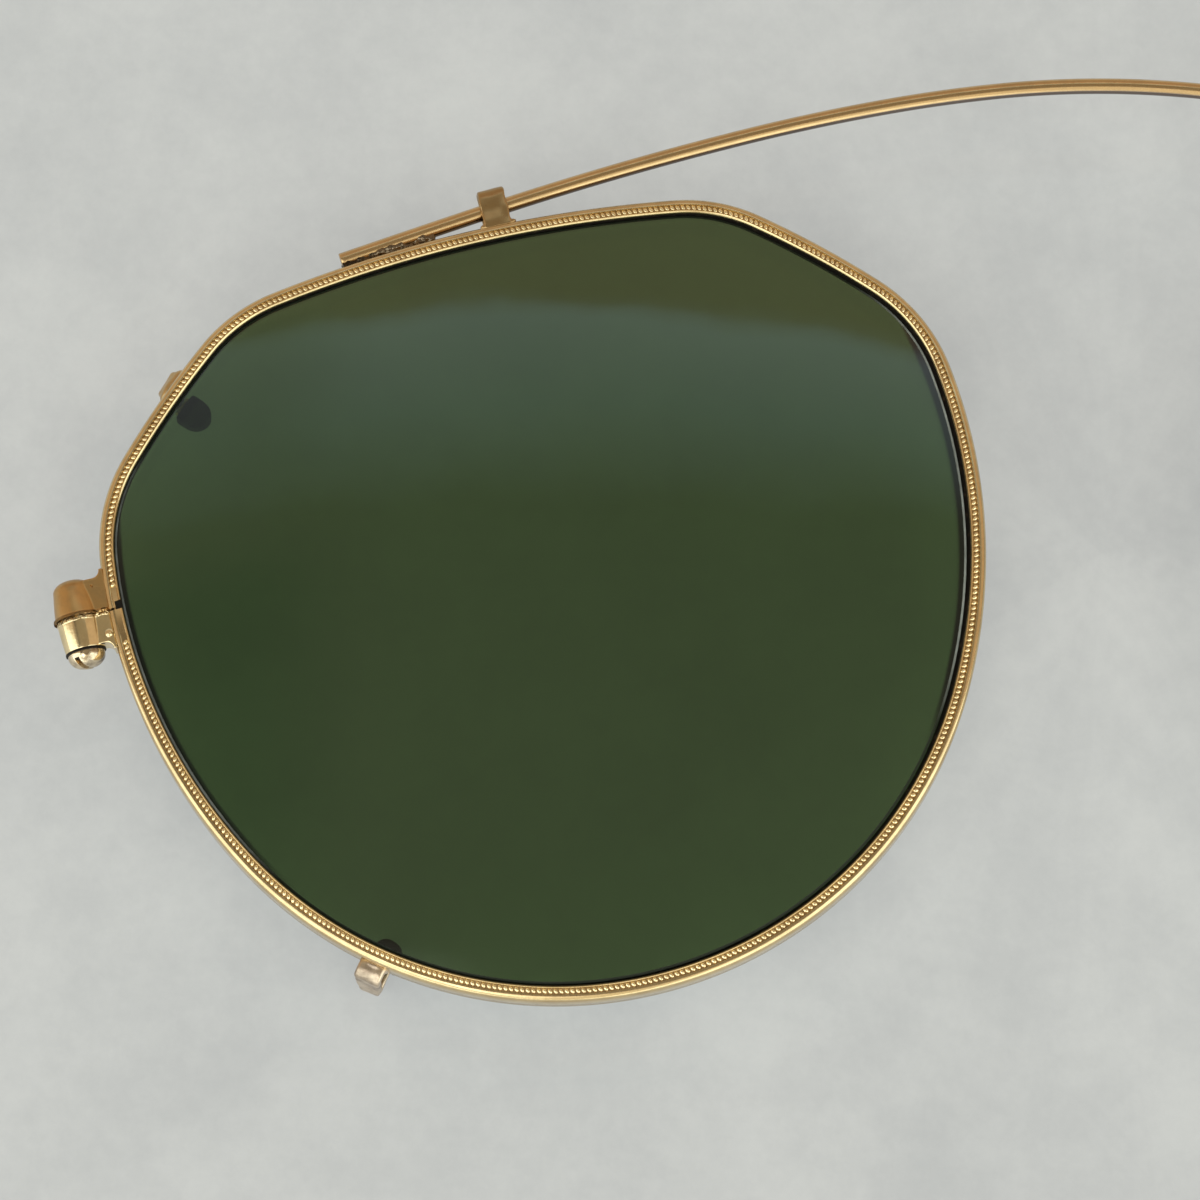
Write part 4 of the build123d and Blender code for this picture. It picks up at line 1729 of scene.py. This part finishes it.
def effect(
    name: str, inputs: dict[str, tuple[str, object]], outputs: dict[str, str]
) -> tuple[bpy.types.NodeTree, Bench]:
    """Start a shader node group with named sockets.

    Args:
        name: the group's name.
        inputs: for each input its socket kind and its default.
        outputs: for each output its socket kind.

    Returns:
        The group and the bench to build it on.
    """
    group = bpy.data.node_groups.new(name, "ShaderNodeTree")
    for label, (kind, default) in inputs.items():
        socket = group.interface.new_socket(label, in_out="INPUT", socket_type="NodeSocket" + kind)
        socket.default_value = (*default, 1) if kind == "Color" else default
    for label, kind in outputs.items():
        group.interface.new_socket(label, in_out="OUTPUT", socket_type="NodeSocket" + kind)
    return group, Bench(group)


def handled_metal() -> bpy.types.NodeTree:
    """Gold filling after years of handling: dull patches, fine scratches and small pits.

    Returns:
        The shared node group.
    """
    found = bpy.data.node_groups.get("handled metal")
    if found:
        return found
    inputs = {
        "Bright": ("Color", (0.62, 0.46, 0.25)),
        "Dull": ("Color", (0.3, 0.2, 0.1)),
        "Dulling": ("Float", 0.4),
        "Grain": ("Float", 1500.0),
        "Polish": ("Float", 0.22),
        "Roughening": ("Float", 0.2),
        "Scratches": ("Float", 0.3),
    }
    outputs = {"Colour": "Color", "Roughness": "Float", "Height": "Float"}
    group, bench = effect("handled metal", inputs, outputs)
    given = bench.node("NodeGroupInput").outputs
    place = bench.place()
    broad = bench.noise(place, 420.0, 4, 0.6)
    fine = bench.noise(place, given["Grain"], 4, 0.6)
    both = bench.plus(bench.times(broad, 0.55), bench.times(fine, 0.45))
    dulled = bench.times(bench.ramp(both, 0.4, 0.62), given["Dulling"])
    stretched = bench.node("Mapping", Vector=place, Scale=(500.0, 9000.0, 3000.0), Rotation=(0.2, 0.1, 0.6))
    streak = bench.noise(stretched.outputs[0], 1.0, 2, 0.5)
    scratch = bench.times(bench.ramp(streak, 0.56, 0.7), given["Scratches"])
    pits = bench.node("TexVoronoi", {"feature": "DISTANCE_TO_EDGE"}, Vector=place, Scale=2600.0).outputs[0]
    pit = bench.times(bench.ramp(pits, 0.0, 0.05, 1, 0), 0.12)
    colour = bench.blend(dulled, given["Bright"], given["Dull"])
    colour = bench.blend(scratch, colour, given["Bright"])
    rougher = bench.times(dulled, given["Roughening"])
    rough = bench.plus(given["Polish"], rougher, bench.times(scratch, 0.12))
    height = bench.less(bench.times(fine, 0.5), scratch, pit)
    bench.node("NodeGroupOutput", Colour=colour, Roughness=rough, Height=height)
    return group


class Finish:
    """What every finish has: a slot and a material that is made once."""

    name: str
    slot: str

    def material(self) -> bpy.types.Material:
        """The finish's material, made at its first use."""
        found = bpy.data.materials.get(self.name)
        if found:
            return found
        material = bpy.data.materials.new(self.name)
        material.use_nodes = True
        self.dress(Bench(material.node_tree))
        return material

    def dress(self, bench: Bench) -> None:
        """Lay out the material's nodes."""
        raise NotImplementedError


@dataclass(frozen=True)
class GoldFilling(Finish):
    """Gold-filled metal as drawn, milled or rubbed."""

    name: str
    slot: str
    bright: Colour = (0.8, 0.62, 0.34)
    dull: Colour = (0.46, 0.33, 0.17)
    dulling: float = 0.35
    grain: float = 1500.0
    polish: float = 0.17
    roughening: float = 0.14
    scratches: float = 0.2
    relief: float = 0.004

    def dress(self, bench: Bench) -> None:
        """Lay out the material's nodes."""
        metal = bench.node(
            "Group",
            {"node_tree": handled_metal()},
            Bright=self.bright,
            Dull=self.dull,
            Dulling=self.dulling,
            Grain=self.grain,
            Polish=self.polish,
            Roughening=self.roughening,
            Scratches=self.scratches,
        ).outputs
        bump = bench.node("Bump", Height=metal["Height"], Strength=0.6, Distance=self.relief * MM)
        bench.coat(
            Base_Color=self.tint(bench, metal["Colour"]),
            Metallic=1.0,
            Roughness=metal["Roughness"],
            Normal=bump.outputs[0],
        )

    def tint(self, bench: Bench, colour: bpy.types.NodeSocket) -> bpy.types.NodeSocket:
        """The colour after what only this finish has; plain filling has nothing more."""
        return colour


@dataclass(frozen=True)
class ShadedWire(GoldFilling):
    """Gold-filled wire with painted shade along the side that faces the near side and down."""

    shade_colour: Colour = (0.2, 0.16, 0.14)

    def tint(self, bench: Bench, colour: bpy.types.NodeSocket) -> bpy.types.NodeSocket:
        """Darken the colour as painted shade where the wire is marked."""
        return bench.blend(bench.marked("worn"), colour, self.shade_colour)


@dataclass(frozen=True)
class ShadeFill(Finish):
    """Painted shade: a near-black fill for seams and recesses, a little speckled."""

    name: str = "dried grease"
    slot: str = "tarnished_solder"
    black: Colour = (0.008, 0.006, 0.004)
    speckled: Colour = (0.05, 0.035, 0.02)
    speckle_scale: float = 2500.0

    def dress(self, bench: Bench) -> None:
        """Lay out the material's nodes."""
        speckle = bench.ramp(bench.noise(bench.place(), self.speckle_scale, 3, 0.6), 0.55, 0.75)
        colour = bench.blend(speckle, self.black, self.speckled)
        bench.coat(Base_Color=colour, Roughness=0.6, Specular_IOR_Level=0.2)


@dataclass(frozen=True)
class SoftRubber(Finish):
    """Dull black rubber with a fine grain and a little dust."""

    name: str = "black rubber boot"
    slot: str = "black_pad"
    clean: Colour = (0.006, 0.005, 0.005)
    dusty: Colour = (0.022, 0.02, 0.018)
    grain_scale: float = 6000.0
    dust_scale: float = 1300.0
    relief: float = 0.02

    def dress(self, bench: Bench) -> None:
        """Lay out the material's nodes."""
        place = bench.place()
        grain = bench.noise(place, self.grain_scale, 3, 0.6)
        dust = bench.ramp(bench.noise(place, self.dust_scale, 4, 0.65), 0.55, 0.75)
        bump = bench.node("Bump", Height=grain, Strength=0.5, Distance=self.relief * MM)
        bench.coat(
            Base_Color=bench.blend(dust, self.clean, self.dusty),
            Roughness=bench.ramp(grain, 0.3, 0.7, 0.55, 0.75),
            Normal=bump.outputs[0],
        )


@dataclass(frozen=True)
class GroundEdge(Finish):
    """Ground glass, grey and painted as a highlight where it is marked, and near-black green elsewhere as
    painted shade.
    """

    name: str = "ground glass edge"
    slot: str = "green_glass"
    shade: Colour = (0.012, 0.02, 0.01)
    ground: Colour = (0.42, 0.48, 0.48)
    wear_scale: float = 900.0

    def dress(self, bench: Bench) -> None:
        """Lay out the material's nodes."""
        # Random wear patches thin the grey.
        worn = bench.ramp(bench.noise(bench.place(), self.wear_scale, 4, 0.6), 0.3, 0.7, 0.55, 1.0)
        share = bench.times(bench.marked("frost"), worn)
        bench.coat(Base_Color=bench.blend(share, self.shade, self.ground), Roughness=0.5)


@dataclass(frozen=True)
class GreenGlass(Finish):
    """Dark green tinted glass with faint wipe marks, painted black as the groove's shade where it is so
    marked.
    """

    name: str = "dark green glass"
    slot: str = "green_glass"
    colour: Colour = (0.072, 0.123, 0.048)
    border: Colour = (0.012, 0.016, 0.011)
    smear_scale: float = 160.0
    index: float = 1.52

    def dress(self, bench: Bench) -> None:
        """Lay out the material's nodes."""
        smear = bench.noise(bench.place(), self.smear_scale, 4, 0.6)
        rough = bench.ramp(smear, 0.5, 0.75, 0.012, 0.035)
        # Painted shade: black where the glass is marked near the rim's groove.
        colour = bench.blend(bench.ramp(bench.marked("border"), 0.1, 0.9), self.colour, self.border)
        bench.coat(Base_Color=colour, Roughness=rough, IOR=self.index, Transmission_Weight=1.0)


WIRE = ShadedWire("gold-filled wire", "gold_filled_wire", bright=(0.66, 0.46, 0.24), polish=0.2)
RIM = GoldFilling("gold-filled rim", "gold_filled_rim", bright=(0.74, 0.57, 0.32), dull=(0.4, 0.28, 0.14))
PEARLS = GoldFilling(
    "worn pearls", "gold_filled_rim", bright=(0.95, 0.8, 0.5), dull=(0.55, 0.4, 0.2), polish=0.22
)
BAND_FLOOR = GoldFilling(
    "tarnished band", "gold_filled_rim", bright=(0.42, 0.28, 0.13), dull=(0.22, 0.14, 0.07), polish=0.35
)
# Lit and shaded copies of the block's gold: the lower half's is brighter as painted light, the upper half's
# darker and rougher as painted shade.
BLOCK_LIT = GoldFilling(
    "gold-filled block", "gold_filled_block", bright=(0.9, 0.73, 0.44), dulling=0.3, polish=0.16
)
BLOCK_SHADED = GoldFilling(
    "gold-filled block, rubbed",
    "gold_filled_block",
    bright=(0.58, 0.36, 0.15),
    dull=(0.34, 0.23, 0.11),
    dulling=0.5,
    polish=0.3,
)
CLAW = GoldFilling(
    "grey strap",
    "gold_filled_claw",
    bright=(0.7, 0.57, 0.43),
    dull=(0.3, 0.23, 0.18),
    dulling=0.9,
    polish=0.32,
    relief=0.01,
)
STRAP = GoldFilling(
    "brown strap", "gold_filled_claw", bright=(0.46, 0.31, 0.15), dull=(0.32, 0.21, 0.1), polish=0.27
)
BROWN_CLAW = GoldFilling(
    "brown claw", "gold_filled_claw", bright=(0.62, 0.44, 0.22), dull=(0.34, 0.23, 0.11), polish=0.28
)
SCREW = GoldFilling(
    "gilt screw",
    "screw_gilt",
    bright=(0.8, 0.66, 0.46),
    dull=(0.07, 0.045, 0.04),
    dulling=1.0,
    grain=1900.0,
    polish=0.08,
    relief=0.02,
)
# Solder kept near black all over.
SOLDER = GoldFilling(
    "dark solder", "tarnished_solder", bright=(0.2, 0.15, 0.1), dull=(0.02, 0.015, 0.01), dulling=0.9
)
# The near-black finish of the painted shade fills.
SHADE_FILL = ShadeFill()
RUBBER = SoftRubber()
GLASS = GreenGlass()
FROST_AND_SHEEN = GroundEdge()


# ---- studio ---------------------------------------------------------------------------


@dataclass(frozen=True)
class Room:
    """The room seen from the table: bright towards the near side, brown beyond the far side.

    Overhead is dark, and so is the one who bends over the table. Angles are degrees from straight
    up: in the bands and the near and far edges they grow towards the far side, in the left and
    right edges towards the right. An edge is where a change begins and where it ends.
    """

    bands: tuple[tuple[float, Colour], ...] = (
        (-90, (1.3, 1.3, 1.2)),
        (-72, (2.0, 2.1, 1.95)),
        (-16, (2.0, 2.1, 1.95)),
        (-9, (0.34, 0.29, 0.21)),
        (20, (0.3, 0.25, 0.17)),
        (26, (0.66, 0.78, 0.76)),
        (32, (1.02, 1.14, 1.17)),
        (33.2, (0.68, 0.43, 0.26)),
        (50, (0.48, 0.37, 0.26)),
        (90, (0.5, 0.4, 0.3)),
    )
    ragged: float = 4.0
    ragged_scale: float = 5.0
    coat_lit: Colour = (0.95, 0.88, 0.7)
    coat_dark: Colour = (0.3, 0.25, 0.18)
    coat_near: Edge = (-30, -22)
    body_left: Edge = (-12, -4)
    body_right: Edge = (24, 32)
    body_far: Edge = (-6, 0)
    wall_left: Edge = (-22, -12)
    pale: Colour = (0.3, 0.27, 0.2)
    pale_share: float = 0.4
    pale_near: Edge = (20, 24)
    pale_far: Edge = (33, 35)
    dim: Colour = (0.07, 0.06, 0.045)
    dim_share: float = 0.75
    dim_far: Edge = (14, 20)
    outer_left: Edge = (-36, -27)
    outer_right: Edge = (28, 36)
    outer_far: Edge = (-8, -2)
    outer_lit: Colour = (1.9, 2.0, 1.85)
    outer_shade: Colour = (0.6, 0.46, 0.31)

    def light(self) -> None:
        """Lay out the world's nodes."""
        world = bpy.data.worlds.new("room")
        bpy.context.scene.world = world
        world.use_nodes = True
        bench = Bench(world.node_tree)
        way = bench.node("TexCoord").outputs["Generated"]
        parts = bench.node("SeparateXYZ", Vector=way).outputs
        far = self.degrees(bench, parts["Y"], parts["Z"])
        uneven = bench.less(bench.noise(way, self.ragged_scale, 3, 0.5), 0.5)
        far = bench.plus(far, bench.times(uneven, self.ragged))
        right = self.degrees(bench, parts["X"], parts["Z"])
        colour = self.banded(bench, far)
        body = bench.times(
            bench.ramp(right, *self.body_left),
            bench.ramp(right, *self.body_right, 1, 0),
            bench.ramp(far, *self.body_far, 1, 0),
        )
        coat = bench.blend(bench.ramp(far, *self.coat_near), self.coat_lit, self.coat_dark)
        colour = bench.blend(body, colour, coat)
        pale = bench.times(
            bench.ramp(right, *self.wall_left, self.pale_share, 0),
            bench.ramp(far, *self.pale_near),
            bench.ramp(far, *self.pale_far, 1, 0),
        )
        colour = bench.blend(pale, colour, self.pale)
        dim = bench.times(
            bench.ramp(right, *self.wall_left, self.dim_share, 0), bench.ramp(far, *self.dim_far, 1, 0)
        )
        colour = bench.blend(dim, colour, self.dim)
        outer = bench.plus(
            bench.ramp(right, *self.outer_left, 1, 0), bench.ramp(right, *self.outer_right)
        )
        lit = bench.times(outer, bench.ramp(far, *self.outer_far, 1, 0))
        colour = bench.blend(lit, colour, self.outer_lit)
        shade = bench.times(outer, bench.ramp(far, *self.outer_far))
        colour = bench.blend(shade, colour, self.outer_shade)
        back = bench.node("Background", Color=colour, Strength=1.0)
        bench.node("OutputWorld", Surface=back.outputs[0])

    def banded(self, bench: Bench, far: bpy.types.NodeSocket) -> bpy.types.NodeSocket:
        """The colours of the room from the near to the far side.

        Args:
            bench: where the nodes are placed.
            far: the lean towards the far side, in degrees.

        Returns:
            The colour.
        """
        ramp = bench.node("ValToRGB", Fac=bench.ramp_linear(far, -90, 90))
        stops = ramp.color_ramp.elements
        while len(stops) < len(self.bands):
            stops.new(0.5)
        for stop, (degrees, colour) in zip(stops, self.bands):
            stop.position = (degrees + 90) / 180
            stop.color = (*colour, 1)
        return ramp.outputs[0]

    @staticmethod
    def degrees(bench: Bench, across: object, up: object) -> bpy.types.NodeSocket:
        """The lean of a direction from straight up, in degrees."""
        return bench.times(bench.work_out("ARCTAN2", across, up), math.degrees(1))


@dataclass
class Studio:
    """Floor, room light, lamp and camera: millimetres and degrees, the camera's clipping in metres."""

    target: Triple = (-26.20, -3.84, 5.35)
    distance: float = 250.0
    elevation: float = 76.0
    view_width: float = 61.2
    sensor: float = 36.0
    clipping: tuple[float, float] = (0.005, 20)
    floor_size: float = 900.0
    floor_dark: Colour = (0.175, 0.182, 0.184)
    floor_pale: Colour = (0.214, 0.221, 0.219)
    floor_glow: float = 1.9
    lamp_place: Triple = (-160, -260, 420)
    lamp_size: float = 260
    lamp_power: float = 0.25
    lamp_colour: Colour = (1.0, 0.98, 0.94)

    def lay_floor(self) -> None:
        """A pale mottled table top under the feet."""
        bpy.ops.object.select_all(action="DESELECT")
        bpy.ops.mesh.primitive_grid_add(x_subdivisions=8, y_subdivisions=8, size=self.floor_size * MM)
        floor = bpy.context.object
        floor.name = "table_top"
        material = bpy.data.materials.new("pale table top")
        material.use_nodes = True
        bench = Bench(material.node_tree)
        place = bench.place()
        cloud = bench.ramp(bench.noise(place, 130.0, 7, 0.66), 0.34, 0.66)
        wide = bench.ramp(bench.noise(place, 36.0, 3, 0.5), 0.35, 0.65)
        fine = bench.ramp(bench.noise(place, 1100.0, 5, 0.7), 0.3, 0.7, 0, 0.2)
        mottle = bench.plus(bench.times(cloud, 0.45), bench.times(wide, 0.35), fine)
        colour = bench.blend(mottle, self.floor_dark, self.floor_pale)
        glow = {"Emission_Color": colour, "Emission_Strength": self.floor_glow}
        bench.coat(Base_Color=colour, Roughness=0.5, **glow)
        floor.data.materials.append(material)
        floor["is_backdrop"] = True

    def hang_lamp(self) -> None:
        """A square soft lamp turned to the middle of the table."""
        spot = mm(*self.lamp_place)
        aim = (-spot).to_track_quat("-Z", "Y").to_euler()
        bpy.ops.object.light_add(type="AREA", location=spot, rotation=aim)
        lamp = bpy.context.object.data
        lamp.size = self.lamp_size * MM
        lamp.energy = self.lamp_power
        lamp.color = self.lamp_colour

    def set_camera(self) -> None:
        """The camera above the near edge of the table."""
        tilt = math.radians(self.elevation)
        away = Vector((0, -math.cos(tilt), math.sin(tilt))) * self.distance
        place = (Vector(self.target) + away) * MM
        bpy.ops.object.camera_add(location=place, rotation=(math.pi / 2 - tilt, 0, 0))
        camera = bpy.context.object
        camera.data.sensor_width = self.sensor
        camera.data.lens = self.sensor * self.distance / self.view_width
        camera.data.clip_start, camera.data.clip_end = self.clipping
        bpy.context.scene.camera = camera
        bpy.context.scene.view_settings.view_transform = "Standard"

    def build(self) -> None:
        """Floor, light and camera."""
        self.lay_floor()
        Room().light()
        self.hang_lamp()
        self.set_camera()


# How far up the diagonal from its middle the upper claw stands, in millimetres, and where on the
# round bottom the lower one does, in degrees against the clock from the way to the wearer's left.
UPPER_CLAW_SHIFT = 1.25
LOWER_CLAW_ANGLE = 231.3


def claws(shape: LensShape) -> list[Claw]:
    """The right unit's two claws, in the level frame.

    Args:
        shape: the lens outline that they stand on.

    Returns:
        The upper claw on the temple-side diagonal and the lower one on the round bottom.
    """
    side_x, side_y = shape.side_x(shape.side_corner_y), shape.side_corner_y
    top_x, top_y = shape.top_corner_x, shape.top_corner_y
    along = Vector((side_x - top_x, top_y - side_y, 0)).normalized()
    outward = Vector((-along.y, along.x, 0))
    middle = Vector((-(side_x + top_x) / 2, (side_y + top_y) / 2, 0))
    upper = middle + along * UPPER_CLAW_SHIFT + outward * (shape.diagonal_bulge + shape.rim_width)
    angle = math.radians(LOWER_CLAW_ANGLE)
    below = Vector((math.cos(angle), math.sin(angle), 0))
    lower = Vector((0, shape.bottom_centre, 0)) + below * (shape.bottom_radius + shape.rim_width)
    return [
        Claw("upper", shape, upper, outward, bulge=0.54, solder=1.35),
        Claw("lower", shape, lower, below, bulge=0.92),
    ]


def main() -> None:
    """Build the pair of clip-on lenses round the frame's bodies."""
    logging.basicConfig(level=logging.INFO, format="%(name)s: %(message)s")
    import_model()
    cad_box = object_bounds()
    shape = LensShape()
    hanging = Hanging()
    pieces = Rim(shape).build(RIM, PEARLS, BAND_FLOOR, SHADE_FILL)
    pieces += Lens(shape).build(GLASS, FROST_AND_SHEEN)
    # The upper half takes the shaded copy of the block's gold, the lower half the lit copy.
    pieces += ClosingBlock(shape).build(BLOCK_SHADED, BLOCK_LIT, SCREW, SHADE_FILL)
    for claw, finish in zip(claws(shape), (BROWN_CLAW, CLAW)):
        pieces += claw.build(finish, RUBBER)
    pieces += WireRoot(shape).build(STRAP, SOLDER)
    for piece in pieces:
        hanging.hang(piece)
    BowWire().build(WIRE)
    Studio().build()
    {"cad": to_lists(cad_box), "visual": to_lists(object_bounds())}


def to_lists(value: object) -> object:
    """Turn vectors and tuples into plain lists of numbers.

    Args:
        value: a number, or a dict or sequence of such values in any depth.

    Returns:
        The same with floats and lists only.
    """
    if isinstance(value, (int, float)):
        return float(value)
    if isinstance(value, dict):
        return {key: to_lists(part) for key, part in value.items()}
    return [to_lists(part) for part in value]


if __name__ == "__main__":
    main()
